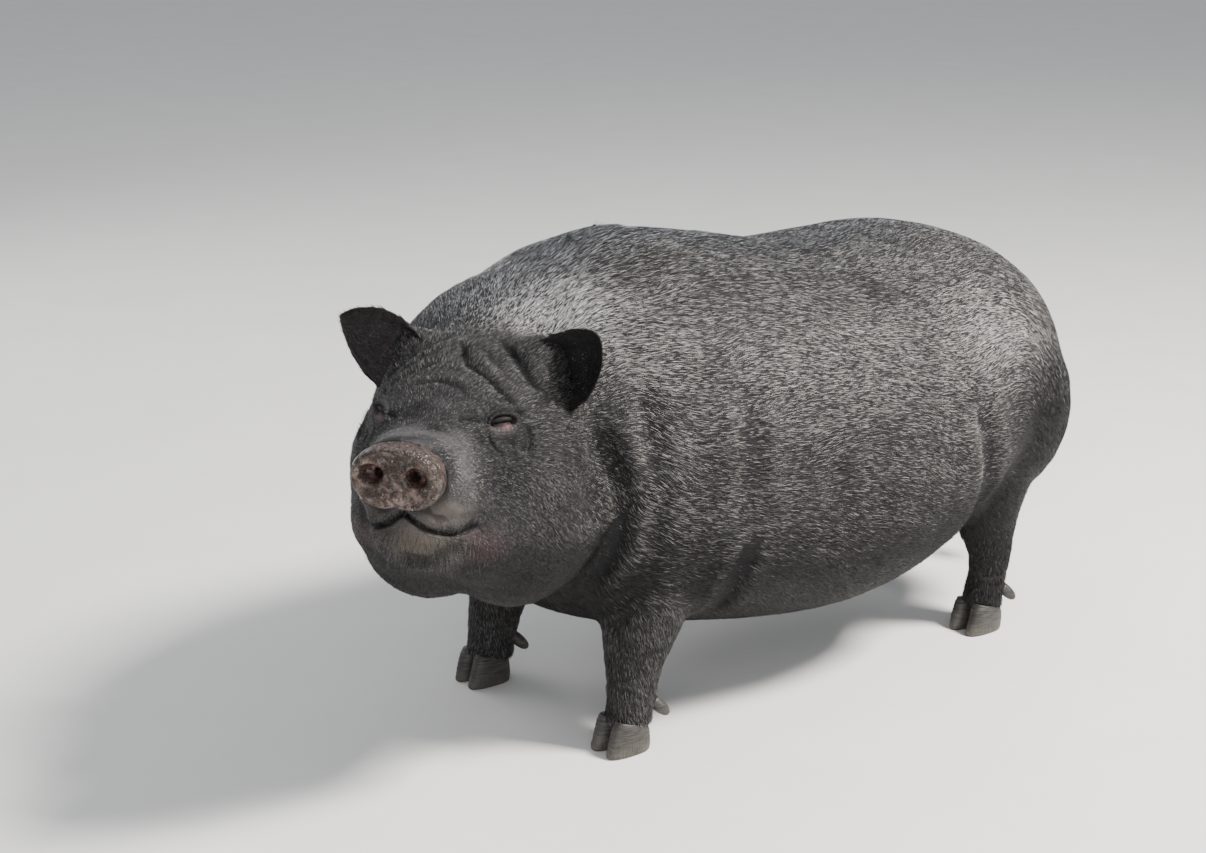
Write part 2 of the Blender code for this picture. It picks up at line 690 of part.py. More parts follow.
def ear_leaf(name, tree, side):
    """A cupped ear leaf, its root sunk in the skin."""
    lean = ear_lean(side)
    open_to = Vector((math.sin(EAR_OPEN_OUT) * side, -math.cos(EAR_OPEN_OUT), 0.0))
    open_to = (open_to - lean * open_to.dot(lean)).normalized()
    wide = lean.cross(open_to).normalized() * -side
    root = Vector((EAR_ROOT.x * side, EAR_ROOT.y, EAR_ROOT.z))
    far = HEAD @ (root + lean * EAR_LENGTH * 2.0)
    skin = HEAD.inverted() @ tree.ray_cast(far, (HEAD @ root - far).normalized())[0]
    root = skin - lean * EAR_SUNK
    narrow, point, base, growth = EAR_OUTLINE
    outer = []
    inner = []
    for row in range(EAR_ROWS + 1):
        v = row / EAR_ROWS
        half = EAR_HALF_WIDTH * (1.0 - v ** narrow) ** point * (base + growth * v) + EAR_TIP_HALF
        wrap = math.radians(EAR_WRAP[0] + (EAR_WRAP[1] - EAR_WRAP[0]) * v)
        radius = half / math.sin(wrap)
        thick = EAR_THICK * (1.0 - EAR_THINNING[0] * v)
        spine = root + lean * (EAR_LENGTH * v) + open_to * (EAR_CURL * v * v) + wide * (EAR_SWEEP[side] * v * v)
        outer.append([])
        inner.append([])
        for column in range(EAR_COLUMNS + 1):
            s = 2.0 * column / EAR_COLUMNS - 1.0
            angle = wrap * s
            rim = thick * (1.0 - EAR_THINNING[1] * s * s)
            radial = wide * math.sin(angle) - open_to * math.cos(angle)
            middle = spine + open_to * (radius * math.cos(wrap) * EAR_AXIS_SHARE)
            outer[-1].append(middle + radial * radius)
            inner[-1].append(middle + radial * (radius - rim))
    shape = bmesh.new()
    front = [[shape.verts.new(HEAD @ point) for point in row] for row in outer]
    back = [[shape.verts.new(HEAD @ point) for point in row] for row in inner]
    for sheet in (front, back):
        for near, far in zip(sheet, sheet[1:]):
            for i in range(EAR_COLUMNS):
                shape.faces.new((near[i], near[i + 1], far[i + 1], far[i]))
    border = ([front[0][i] for i in range(EAR_COLUMNS + 1)]
              + [row[-1] for row in front[1:]]
              + [front[-1][i] for i in range(EAR_COLUMNS - 1, -1, -1)]
              + [row[0] for row in front[-2:0:-1]])
    under = ([back[0][i] for i in range(EAR_COLUMNS + 1)]
             + [row[-1] for row in back[1:]]
             + [back[-1][i] for i in range(EAR_COLUMNS - 1, -1, -1)]
             + [row[0] for row in back[-2:0:-1]])
    for i in range(len(border)):
        j = (i + 1) % len(border)
        shape.faces.new((border[i], border[j], under[j], under[i]))
    return object_from_bmesh(name, shape)


def swollen(item, gap):
    """A copy of a skin grown outward by a gap."""
    copy = object_from_mesh("swollen", item.data.copy())
    normals = [vert.normal.copy() for vert in copy.data.vertices]
    for vert, normal in zip(copy.data.vertices, normals):
        vert.co += normal * gap
    return copy


def set_on_skin(item, body):
    """Trim a solid whose root is sunk in the skin, so that it stands on it."""
    combine(item, [swollen(body, GAP)], "DIFFERENCE")
    keep_largest(item)


def flat_cut(name, place, turn, lean, half):
    """A thin square plate through a point, upright before it is leaned and turned."""
    frame = Matrix.Translation(place) @ Matrix.Rotation(turn, 4, "Z") @ Matrix.Rotation(lean, 4, "X")
    return box(name, frame, (half * 2, GAP, half * 2))


def leg_cut(mirror, y):
    """A thin curved plate just under the torso's surface, round one leg."""
    table = curve_through(TORSO_ROWS, 12)
    low, high = (math.radians(angle) for angle in LEG_CUT_ANGLES)
    sheets = []
    for offset in (LEG_CUT_OFFSET, LEG_CUT_OFFSET + GAP * 1.3):
        sheet = []
        for row in range(LEG_CUT_STEPS + 1):
            station = y + LEG_CUT_REACH * (2.0 * row / LEG_CUT_STEPS - 1.0)
            sizes = [np.interp(station, table[:, 0], table[:, k]) for k in range(1, 5)]
            top, bottom, half_width, wide = sizes
            line = []
            for column in range(LEG_CUT_STEPS + 1):
                angle = low + (high - low) * column / LEG_CUT_STEPS
                across, up = oval_point(angle, half_width + offset, top - wide + offset,
                                        wide - bottom + offset, TORSO_POWERS)
                line.append(Vector((across * mirror, station, wide + up)))
            sheet.append(line)
        sheets.append(sheet)
    shape = bmesh.new()
    upper, lower = ([[shape.verts.new(p) for p in line] for line in sheet] for sheet in sheets)
    last = LEG_CUT_STEPS
    for sheet in (upper, lower):
        for near, far in zip(sheet, sheet[1:]):
            for i in range(last):
                shape.faces.new((near[i], near[i + 1], far[i + 1], far[i]))
    for k in range(last):
        shape.faces.new((upper[0][k], upper[0][k + 1], lower[0][k + 1], lower[0][k]))
        shape.faces.new((upper[last][k], upper[last][k + 1], lower[last][k + 1], lower[last][k]))
        shape.faces.new((upper[k][0], upper[k + 1][0], lower[k + 1][0], lower[k][0]))
        shape.faces.new((upper[k][last], upper[k + 1][last], lower[k + 1][last], lower[k][last]))
    return object_from_bmesh("leg_cut", shape)


def foot_matrix(kind, side, mirror):
    """A foot's axes: origin under the middle of the coronet on the floor, forward -Y."""
    rows = dict(LEG_KINDS)[kind]
    step = FORELEG_STEP[side] if kind == "foreleg" else 0.0
    x, y = np.array(rows[-1][:2])
    return Matrix.Translation((x * mirror, y + step, 0.0))


def coronet_height(y):
    """Height of the coronet cut, higher toward the toes."""
    return CORONET_HEIGHT - CORONET_SLOPE * y


def foot_cutter(foot):
    """Everything below the coronet, to be taken off the leg."""
    frame = foot @ Matrix.Translation((0.0, 0.0, CORONET_HEIGHT))
    frame = frame @ Matrix.Rotation(-math.atan(CORONET_SLOPE), 4, "X")
    below = Matrix.Translation((0.0, 0.0, -FOOT_CUT_SIZE[2] / 2))
    return box("foot_cut", frame @ below, FOOT_CUT_SIZE)


def claw(name, foot, side):
    """One claw, flat below, its top on the coronet cut."""
    rings = []
    for share, half_width, forward, back in CLAW_ROWS:
        ring = []
        for i in range(CLAW_POINTS):
            across, ahead = oval_point(2 * math.pi * i / CLAW_POINTS, half_width, forward, back,
                                       CLAW_POWERS)
            top = (coronet_height(-ahead) - GAP) * share
            ring.append(Vector((across + CLAW_SPREAD * side, -ahead, top)))
        rings.append(ring)
    item = loft(name, rings)
    item.matrix_world = foot
    return item


def dewclaw(name, foot, tree, side, grow):
    """A dewclaw pointing down and back, its root sunk in the pastern."""
    point = foot @ Vector((DEWCLAW_SPREAD * side, DEWCLAW_SEARCH, DEWCLAW_HEIGHT))
    hit = tree.ray_cast(point, -AXIS_Y)[0]
    aim = Vector((DEWCLAW_AIM.x * side, DEWCLAW_AIM.y, DEWCLAW_AIM.z)).normalized()
    across = aim.cross(AXIS_Z).normalized()
    up = across.cross(aim).normalized()
    rings = []
    for distance, radius in DEWCLAW_ROWS:
        start = distance - (grow if distance == 0.0 else 0.0)
        centre = hit + aim * (start - DEWCLAW_SUNK)
        sizes = (radius + grow,) * 3
        rings.append(oval(centre, across, up, sizes, count=DEWCLAW_POINTS))
    return loft(name, rings)


def lock(name, root, along, normal, length, width, droop):
    """A flat, tapered, bent lock of bristles, its root sunk in the skin."""
    side = along.cross(normal).normalized()
    rings = []
    for share, half, rise in LOCK_ROWS:
        drop = droop if share == 1.0 else 0.0
        middle = root + along * (length * share) + normal * (length * (rise - drop))
        thick = LOCK_THICK * (LOCK_TIP_THICK + (1.0 - LOCK_TIP_THICK) * half)
        rings.append([middle + side * (width * half), middle + normal * thick,
                      middle - side * (width * half), middle - normal * thick])
    return loft(name, rings)


def crest_locks(tree):
    """Overlapping locks along the nape and withers, lying back."""
    dice = random.Random(SEED)
    pieces = []
    for k in range(CREST_LOCKS):
        share = (k + dice.uniform(-0.3, 0.3)) / (CREST_LOCKS - 1)
        y = CREST_FROM + (CREST_TO - CREST_FROM) * min(1.0, max(0.0, share))
        bend = CREST_BEND[1] * max(0.0, (CREST_BEND[0] - y) / CREST_BEND[2])
        x = bend + CREST_SPREAD * ((k % 3) - 1) / 2 + dice.uniform(-CREST_JITTER, CREST_JITTER)
        hit, normal = tree.ray_cast(Vector((x, y, 1.0)), -AXIS_Z)[:2]
        along = (AXIS_Y + AXIS_X * dice.uniform(-0.18, 0.18) + normal * 0.10)
        along = (along - normal * along.dot(normal) * 0.8).normalized()
        length = CREST_LENGTH * dice.uniform(0.8, 1.15)
        pieces.append(lock("crest_lock", hit, along, normal, length,
                           CREST_WIDTH * dice.uniform(0.85, 1.15), dice.uniform(0.0, 0.05)))
    return pieces


def tassel():
    """The tail's end bristles: a short core and hanging locks."""
    dice = random.Random(SEED + 1)
    last = Vector(TAIL_ROWS[-1][:3])
    before = Vector(TAIL_ROWS[-2][:3])
    along = (last - before).normalized()
    radius = TAIL_ROWS[-1][3]
    side = along.cross(AXIS_Y).normalized()
    front = side.cross(along).normalized()
    start = last + along * GAP
    rings = []
    for distance, share in TASSEL_CORE:
        rings.append(oval(start + along * distance, side, front, (radius * share,) * 3,
                          count=TAIL_POINTS))
    core = loft("tail_tassel", rings)
    locks = []
    for k in range(TASSEL_LOCKS):
        angle = 2 * math.pi * (k + dice.uniform(-0.2, 0.2)) / TASSEL_LOCKS
        out = side * math.cos(angle) + front * math.sin(angle)
        down = TASSEL_ROOTS[0] + TASSEL_ROOTS[1] * (k % 3)
        root = start + along * down + out * (radius * TASSEL_ROOTS[2])
        aim = (along + out * dice.uniform(0.02, 0.10)).normalized()
        locks.append(lock("tassel_lock", root, aim, out, TASSEL_LENGTH * dice.uniform(0.75, 1.0) - down,
                          TASSEL_HALF_WIDTH, dice.uniform(0.05, 0.12)))
    combine(core, locks, "UNION")
    keep_largest(core)
    return core


def snout_solid():
    """The snout disc: flat back, thick rim, dished face, notch below and two nostrils."""
    rings = []
    for forward, share in SNOUT_ROWS:
        ring = []
        for i in range(SNOUT_POINTS):
            angle = 2 * math.pi * i / SNOUT_POINTS
            across, up = oval_point(angle, SNOUT_HALF_WIDTH, SNOUT_HALF_HEIGHT,
                                    SNOUT_HALF_HEIGHT, SNOUT_POWERS)
            notch = SNOUT_NOTCH * math.exp(-((angle - 1.5 * math.pi) / SNOUT_NOTCH_WIDTH) ** 2)
            ring.append(Vector((across * share, -forward - GAP, (up + notch) * share)))
        rings.append(ring)
    disc = loft("snout", rings)
    holes = []
    for _, side in SIDES:
        place = Vector((NOSTRIL_PLACE.x * side, NOSTRIL_PLACE.y, NOSTRIL_PLACE.z))
        turn = Matrix.Rotation(NOSTRIL_TOE * side, 4, "Z")
        holes.append(ball("nostril", place, NOSTRIL_RADII, detail=16, turn=turn))
    combine(disc, holes, "DIFFERENCE")
    disc.matrix_world = snout_matrix()
    return disc


def islands(item):
    """The closed surfaces of an object, each as a mesh copy, largest first."""
    shape = bmesh.new()
    shape.from_mesh(item.data)
    unseen = set(shape.faces)
    groups = []
    while unseen:
        front = [unseen.pop()]
        group = list(front)
        while front:
            face = front.pop()
            for edge in face.edges:
                for other in edge.link_faces:
                    if other in unseen:
                        unseen.remove(other)
                        front.append(other)
                        group.append(other)
        groups.append([face.index for face in group])
    shape.free()
    pieces = []
    for group in groups:
        part = bmesh.new()
        part.from_mesh(item.data)
        part.faces.ensure_lookup_table()
        inside = set(group)
        bmesh.ops.delete(part, geom=[f for f in part.faces if f.index not in inside], context="FACES")
        pieces.append((part.calc_volume(), part))
    pieces.sort(key=lambda pair: -pair[0])
    return pieces


def keep_largest(item):
    """Drop every closed surface but the largest."""
    pieces = islands(item)
    pieces[0][1].to_mesh(item.data)
    for _, part in pieces:
        part.free()


def part_names():
    """A named point inside each node that the body is parted into."""
    points = {
        "head": HEAD @ Vector((0.0, -0.03, -0.03)),
        "neck": (NECK_CUT_FRONT[0] + NECK_CUT_BACK[0]) / 2 + AXIS_Z * 0.05,
        "torso": Vector((0.0, 0.08, 0.27)),
    }
    for side, mirror in SIDES:
        for kind, rows in LEG_KINDS:
            x, y, z = rows[4][:3]
            points[kind + "_" + side] = Vector((x * mirror, y, z))
    return points


def part_body(body, finish):
    """Name each closed piece of the cut body by the nearest named point."""
    names = part_names()
    chosen = {}
    for volume, part in islands(body):
        middle = Vector((0.0, 0.0, 0.0))
        total = 0.0
        for face in part.faces:
            middle += face.calc_center_median() * face.calc_area()
            total += face.calc_area()
        middle /= total
        name = min(names, key=lambda key: (names[key] - middle).length)
        if name in chosen:
            part.free()
            continue
        mesh = bpy.data.meshes.new(name)
        part.to_mesh(mesh)
        part.free()
        chosen[name] = object_from_mesh(name, mesh)
        set_finish(chosen[name], finish)
    bpy.data.objects.remove(body, do_unlink=True)
    return chosen


def set_finish(item, finish):
    """Give an object one material and smooth shading."""
    item.data.materials.clear()
    item.data.materials.append(finish)
    item.data.shade_smooth()


def build_body():
    """The whole animal as one skin, before it is parted."""
    pieces = [torso_mass(), loft("neck_mass", path_rings(NECK_ROWS, 5))]
    for side, mirror in SIDES:
        pieces.append(leg_mass(FORELEG_ROWS, mirror, FORELEG_STEP[side]))
        pieces.append(leg_mass(HINDLEG_ROWS, mirror, 0.0))
        for centre, radii in HAM_BALLS:
            pieces.append(ball("ham", (centre[0] * mirror, centre[1], centre[2]), radii))
    pieces.extend(head_masses())
    body = join("body", pieces)
    blend(body)
    press_folds(body)
    thin_out(body, BODY_TRIANGLES)
    return body


def main():
    clear_scene()
    skin = material("skin", (0.035, 0.033, 0.034), 0.62)
    moist = material("snout", (0.13, 0.095, 0.09), 0.35)
    horn = material("hoof", (0.045, 0.040, 0.036), 0.45)
    wet = material("eye", (0.02, 0.013, 0.010), 0.08)
    bristle = material("bristle", (0.02, 0.02, 0.022), 0.55)
    body = build_body()
    tree = surface_tree(body)
    tail = loft("tail", path_rings(TAIL_ROWS, 3, TAIL_POINTS))
    set_on_skin(tail, body)
    set_finish(tail, skin)
    for side, mirror in SIDES:
        ear = ear_leaf("ear_" + side, tree, mirror)
        set_on_skin(ear, body)
        set_finish(ear, skin)
    grown = crest_locks(tree)
    cutters = [flat_cut("neck_cut", *NECK_CUT_FRONT, NECK_CUT_HALF),
               flat_cut("neck_cut", *NECK_CUT_BACK, NECK_CUT_HALF)]
    snout_side = snout_matrix() @ Matrix.Translation((0.0, -SNOUT_CUT_SIZE[1] / 2, 0.0))
    cutters.append(box("snout_cut", snout_side, SNOUT_CUT_SIZE))
    cutters.append(mouth_cutter())
    for side, mirror in SIDES:
        frame = eye_frame(tree, mirror)
        grown.extend(eye_lids(frame, mirror))
        cutters.extend(eye_cutters(frame, mirror))
        eye = ball("eye_" + side, (0, 0, 0), (EYE_RADIUS,) * 3, detail=16)
        eye.matrix_world = frame
        set_finish(eye, wet)
        for kind, rows in LEG_KINDS:
            foot = foot_matrix(kind, side, mirror)
            if kind == "foreleg":
                cutters.append(leg_cut(mirror, rows[2][1]))
            else:
                x, y, z = HINDLEG_CUT
                place = Matrix.Translation((x * mirror, y, z))
                cutters.append(box("leg_cut", place, (*HINDLEG_CUT_SIZE, GAP)))
            cutters.append(foot_cutter(foot))
            for place, turn in (("outer", mirror), ("inner", -mirror)):
                tag = "%s_%s_%s" % (kind, side, place)
                set_finish(claw("hoof_" + tag, foot, turn), horn)
                set_finish(dewclaw("dewclaw_" + tag, foot, tree, turn, 0.0), horn)
                cutters.append(dewclaw("dewclaw_socket", foot, tree, turn, GAP))
    combine(body, grown, "UNION")
    keep_largest(body)
    combine(body, cutters, "DIFFERENCE")
    part_body(body, skin)
    set_finish(snout_solid(), moist)
    set_finish(tassel(), bristle)
    stand = bpy.data.objects.new("pig", None)
    stand.location = STAND
    bpy.context.collection.objects.link(stand)
    for item in list(bpy.data.objects):
        if item.type == "MESH":
            item.parent = stand


main()
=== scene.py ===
"""Dressing of a standing pot-bellied pig around its solid frame: skin, folds, coat, eyes and feet.

Metres, +Z up, the pig faces -Y with its head turned toward +X. Head axes have their origin
between the ears, forward is -Y and up is +Z.
"""

import math

import bmesh
import bpy
import numpy as np
from mathutils import Matrix, Vector
from mathutils.bvhtree import BVHTree


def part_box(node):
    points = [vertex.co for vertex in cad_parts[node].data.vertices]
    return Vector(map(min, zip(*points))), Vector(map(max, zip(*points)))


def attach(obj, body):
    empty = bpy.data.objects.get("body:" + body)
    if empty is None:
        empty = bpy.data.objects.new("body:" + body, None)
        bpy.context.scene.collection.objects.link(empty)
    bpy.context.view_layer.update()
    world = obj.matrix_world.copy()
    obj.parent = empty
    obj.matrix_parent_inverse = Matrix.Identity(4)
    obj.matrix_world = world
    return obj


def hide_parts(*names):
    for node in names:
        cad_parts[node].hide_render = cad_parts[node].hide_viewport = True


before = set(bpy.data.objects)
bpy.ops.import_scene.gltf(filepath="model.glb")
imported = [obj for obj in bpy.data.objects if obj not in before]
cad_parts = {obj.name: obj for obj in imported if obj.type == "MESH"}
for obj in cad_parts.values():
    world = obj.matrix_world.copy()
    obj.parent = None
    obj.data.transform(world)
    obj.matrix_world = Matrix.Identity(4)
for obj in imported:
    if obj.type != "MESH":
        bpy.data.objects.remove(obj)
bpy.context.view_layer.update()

bl_info = {
    "name": "Pot-bellied pig",
    "version": (1, 0, 0),
    "blender": (4, 5, 0),
    "location": "View3D > Sidebar > Pig",
    "description": "Builds the skin, bristles, eyes, snout and claws of a standing pot-bellied pig",
    "category": "Object",
}

SIDES = (("left", 1), ("right", -1))
UP = Vector((0.0, 0.0, 1.0))

# Where the animal's own zero stands, and how the head sits and is turned
STAND = Vector((0.0, 0.022, 0.0))
HEAD_PLACE = Vector((0.072, -0.365, 0.360))
HEAD_YAW = math.radians(35.5)
HEAD_PITCH = math.radians(12.0)
HEAD = (Matrix.Translation(STAND + HEAD_PLACE) @ Matrix.Rotation(HEAD_YAW, 4, "Z")
        @ Matrix.Rotation(-HEAD_PITCH, 4, "X"))
BODY = Matrix.Translation(STAND)

# Snout disc, in head axes and then in its own
SNOUT_FORWARD = 0.170
SNOUT_HEIGHT = -0.024
SNOUT_TILT = math.radians(-15.0)
SNOUT_HALF_WIDTH = 0.0430
SNOUT_HALF_HEIGHT = 0.0305
SNOUT = (HEAD @ Matrix.Translation(Vector((0.0, -SNOUT_FORWARD, SNOUT_HEIGHT)))
         @ Matrix.Rotation(-SNOUT_TILT, 4, "X"))

# Eyes and ears, in head axes
EYE_OUTWARD = math.radians(40.0)
EYE_UPWARD = math.radians(8.0)
SLIT_TURN = math.radians(-8.0)
SLIT_HALF_LENGTH = 0.0094
SLIT_UP = 0.0009
SLIT_DOWN = 0.0006
LID_REACH = (0.0190, 0.0155)
LID_AROUND = 96
LID_CUT = 0.86
# How far the lids' middle lies before the skin's edge, and the creases round them: height, count
LID_AHEAD = 0.0035
LID_CREASES = (0.00055, 19)
# Lids: share of the way out, upper height over the eye or skin, lower height
LID_PROFILE = ((0.000, -0.0002, -0.0004), (0.012, 0.0012, 0.0005), (0.040, 0.0024, 0.0010),
               (0.100, 0.0034, 0.0014), (0.190, 0.0036, 0.0015), (0.270, 0.0014, 0.0013),
               (0.330, 0.0000, 0.0012), (0.430, 0.0028, 0.0012), (0.520, 0.0036, 0.0006),
               (0.620, 0.0012, -0.0004), (0.700, 0.0002, 0.0006), (0.850, 0.0007, 0.0003),
               (0.960, 0.0002, 0.0002), (1.000, -0.0008, -0.0008))
EAR_ROOT = Vector((0.066, -0.018, 0.056))
EAR_OUT = {1: math.radians(76.0), -1: math.radians(54.0)}
EAR_BACK = math.radians(-8.0)
EAR_OPEN_OUT = math.radians(20.0)
EAR_SUNK = 0.018
EAR_LENGTH = 0.078
EAR_HALF_WIDTH = 0.036
EAR_TIP_HALF = 0.0022
# Outline from root to tip: powers of its narrowing, share of the width at the root, its growth
EAR_OUTLINE = (2.1, 0.80, 0.92, 0.42)
EAR_THICK = 0.0042
EAR_CURL = 0.010
EAR_SWEEP = {1: 0.024, -1: 0.006}
EAR_AXIS_SHARE = 0.6
# How far round the cup goes at the root and at the tip, from its middle line
EAR_WRAP = (88.0, 40.0)
# Ridges inside the cup: height, middle and reach along the ear; the rounded rim: height, place, half width
EAR_RIDGE = (0.0011, 0.30, 0.22)
EAR_RIM = (0.0009, 0.93, 0.06)
EAR_ROWS = 70
EAR_COLUMNS = 60

# Nodes that the one skin stands for
FLESH = ("head", "neck", "torso", "tail", "foreleg_left", "foreleg_right", "hindleg_left", "hindleg_right")
EARS = ("ear_left", "ear_right")

# Feet, in the body's own axes: leg, side, X, Y
FEET = (("foreleg", "left", 0.120, -0.230), ("foreleg", "right", -0.120, -0.248),
        ("hindleg", "left", 0.125, 0.296), ("hindleg", "right", -0.125, 0.296))

SEED = 23


# Shader building


class Wire:
    """A shader socket that can be used in sums; each sum adds a Math node."""

    def __init__(self, finish, socket):
        self.finish = finish
        self.socket = socket

    def math(self, operation, first, second):
        step = self.finish.node("ShaderNodeMath", {"operation": operation}, {0: first, 1: second})
        return Wire(self.finish, step.outputs[0])

    def __add__(self, other):
        return self.math("ADD", self, other)

    __radd__ = __add__

    def __mul__(self, other):
        return self.math("MULTIPLY", self, other)

    __rmul__ = __mul__

    def __sub__(self, other):
        return self.math("SUBTRACT", self, other)

    def __rsub__(self, other):
        return self.math("SUBTRACT", other, self)

    def above(self, level, softness):
        """0 below a level, 1 above it, soft between."""
        step = self.finish.node("ShaderNodeMapRange", {"interpolation_type": "SMOOTHSTEP"},
                                {"Value": self, "From Min": level - softness, "From Max": level + softness})
        return Wire(self.finish, step.outputs[0])


class Finish:
    """A material under construction."""

    def __init__(self, name):
        self.material = bpy.data.materials.new(name)
        self.material.use_nodes = True
        self.tree = self.material.node_tree
        self.shader = self.tree.nodes["Principled BSDF"]

    def node(self, kind, settings=None, values=None):
        """Add a node; settings first, then numbers or links on its sockets."""
        made = self.tree.nodes.new(kind)
        for key, value in (settings or {}).items():
            if key == "stops":
                ramp = made.color_ramp
                while len(ramp.elements) < len(value):
                    ramp.elements.new(0.5)
                for element, (place, colour) in zip(ramp.elements, value):
                    element.position = place
                    element.color = (*colour, 1.0)
            else:
                setattr(made, key, value)
        for key, value in (values or {}).items():
            self.feed(made.inputs[key], value)
        return made

    def feed(self, socket, value):
        """Link a wire to a socket, or set the socket's own value."""
        if isinstance(value, Wire):
            self.tree.links.new(value.socket, socket)
        elif isinstance(value, tuple) and len(value) == 3 and socket.type == "RGBA":
            socket.default_value = (*value, 1.0)
        else:
            socket.default_value = value

    def place(self, stretch=(1.0, 1.0, 1.0)):
        """Position on the object, stretched."""
        spot = self.node("ShaderNodeTexCoord")
        step = self.node("ShaderNodeVectorMath", {"operation": "MULTIPLY"},
                         {0: Wire(self, spot.outputs["Object"]), 1: stretch})
        return Wire(self, step.outputs[0])

    def noise(self, scale, stretch=(1.0, 1.0, 1.0), detail=3.0, roughness=0.55):
        """Cloudy noise from 0 to 1."""
        step = self.node("ShaderNodeTexNoise", None, {"Vector": self.place(stretch), "Scale": scale,
                                                      "Detail": detail, "Roughness": roughness})
        return Wire(self, step.outputs[0])

    def cells(self, scale, stretch=(1.0, 1.0, 1.0), feature="F1"):
        """Distance inside small cells, for pores and scaly creases."""
        step = self.node("ShaderNodeTexVoronoi", {"feature": feature},
                         {"Vector": self.place(stretch), "Scale": scale})
        return Wire(self, step.outputs["Distance"])

    def attribute(self, name):
        """A colour painted on the mesh."""
        step = self.node("ShaderNodeAttribute", {"attribute_name": name})
        return Wire(self, step.outputs["Color"])

    def mix(self, first, second, factor, blend="MIX"):
        """Mix two colours."""
        step = self.node("ShaderNodeMix", {"data_type": "RGBA", "blend_type": blend},
                         {0: factor, 6: first, 7: second})
        return Wire(self, step.outputs[2])

    def bump(self, height, strength, distance):
        """Fine relief."""
        step = self.node("ShaderNodeBump", None,
                         {"Height": height, "Strength": strength, "Distance": distance})
        return Wire(self, step.outputs[0])

    def done(self, **inputs):
        """Set the shader's sockets and give the material."""
        for key, value in inputs.items():
            self.feed(self.shader.inputs[key.replace("_", " ")], value)
        return self.material


# Mesh tools


def new_object(name, mesh):
    """Link a mesh as a named object."""
    item = bpy.data.objects.new(name, mesh)
    bpy.context.scene.collection.objects.link(item)
    return item


def fetch(items, name, width=1, kind=np.float32):
    """One property of a mesh's elements, a row for each."""
    out = np.empty(len(items) * width, dtype=kind)
    items.foreach_get(name, out)
    return out.reshape(-1, width) if width > 1 else out


def points_of(mesh):
    """Vertex places as an array."""
    return fetch(mesh.vertices, "co", 3).astype(np.float64)


def normals_of(mesh):
    """Vertex normals as an array."""
    return fetch(mesh.vertex_normals, "vector", 3).astype(np.float64)


def opened(mesh):
    """A mesh open for editing."""
    shape = bmesh.new()
    shape.from_mesh(mesh)
    return shape


def closed(shape, mesh):
    """Write an edited mesh back."""
    shape.to_mesh(mesh)
    shape.free()
    mesh.update()


def set_points(mesh, points):
    """Put vertices at given places."""
    mesh.vertices.foreach_set("co", points.astype(np.float32).ravel())
    mesh.update()


def edges_of(mesh):
    """Vertex pairs of the edges."""
    return fetch(mesh.edges, "vertices", 2, np.int32)


def triangles_of(mesh):
    """Vertex triples of the triangulated faces."""
    mesh.calc_loop_triangles()
    return fetch(mesh.loop_triangles, "vertices", 3, np.int32)


def neighbour_mean(values, edges, degree):
    """Mean over each vertex's neighbours."""
    out = np.empty_like(values)
    for k in range(values.shape[1]):
        total = np.bincount(edges[:, 0], values[edges[:, 1], k], len(values))
        total += np.bincount(edges[:, 1], values[edges[:, 0], k], len(values))
        out[:, k] = total / degree
    return out


def relax(points, edges, weight, steps, keep_volume=True):
    """Smooth places; with keep_volume each step inward is followed by one outward."""
    degree = np.maximum(1, np.bincount(edges.ravel(), minlength=len(points)))
    weight = weight.reshape(-1, 1)
    for _ in range(steps):
        points = points + 0.5 * weight * (neighbour_mean(points, edges, degree) - points)
        if keep_volume:
            points = points - 0.52 * weight * (neighbour_mean(points, edges, degree) - points)
    return points


def spread_mask(mask, edges, steps):
    """Soften a mask over a mesh."""
    degree = np.maximum(1, np.bincount(edges.ravel(), minlength=len(mask)))
    mask = mask.reshape(-1, 1).astype(np.float64)
    for _ in range(steps):
        mask = 0.5 * mask + 0.5 * neighbour_mean(mask, edges, degree)
    return mask[:, 0]


def curve_through(rows, steps):
    """A smooth run of rows through a short table of key rows."""
    keys = np.array(rows, dtype=float)
    padded = np.vstack((2 * keys[0] - keys[1], keys, 2 * keys[-1] - keys[-2]))
    out = []
    for k in range(len(keys) - 1):
        a, b, c, d = padded[k:k + 4]
        for t in np.arange(steps) / steps:
            out.append(0.5 * ((2 * b) + (c - a) * t + (2 * a - 5 * b + 4 * c - d) * t ** 2
                              + (3 * b - a - 3 * c + d) * t ** 3))
    out.append(keys[-1])
    return np.array(out)


def unit(vectors):
    """Vectors at length one."""
    return vectors / np.maximum(1e-12, np.linalg.norm(vectors, axis=-1, keepdims=True))


def moved(matrix, points):
    """Points through a 4 by 4 matrix."""
    m = np.array(matrix)
    return points @ m[:3, :3].T + m[:3, 3]


def in_head(points):
    """World places in head axes."""
    return moved(HEAD.inverted(), points)


def turned(matrix, vectors):
    """Directions through a 4 by 4 matrix."""
    return vectors @ np.array(matrix)[:3, :3].T


def ripple(points, scale, seed, waves=7):
    """Smooth noise from -1 to 1, as a sum of waves in seeded directions."""
    dice = np.random.default_rng(seed)
    total = np.zeros(len(points))
    for _ in range(waves):
        way = unit(dice.normal(size=3)) * scale * dice.uniform(0.6, 1.6)
        total += np.sin(points @ way + dice.uniform(0, 2 * math.pi))
    return total / math.sqrt(waves)


def step_up(values, low, high):
    """0 below low, 1 above high, smooth between."""
    t = np.clip((values - low) / (high - low), 0.0, 1.0)
    return t * t * (3 - 2 * t)


def bell(values, middle, width):
    """1 in the middle, falling to nothing within about two widths."""
    return np.exp(-((values - middle) / width) ** 2)


def near_place(points, middle, reach):
    """1 in a place's middle, falling to nothing round it; the reach is given for each axis."""
    return np.exp(-(((points - np.array(middle)) / np.array(reach)) ** 2).sum(1))


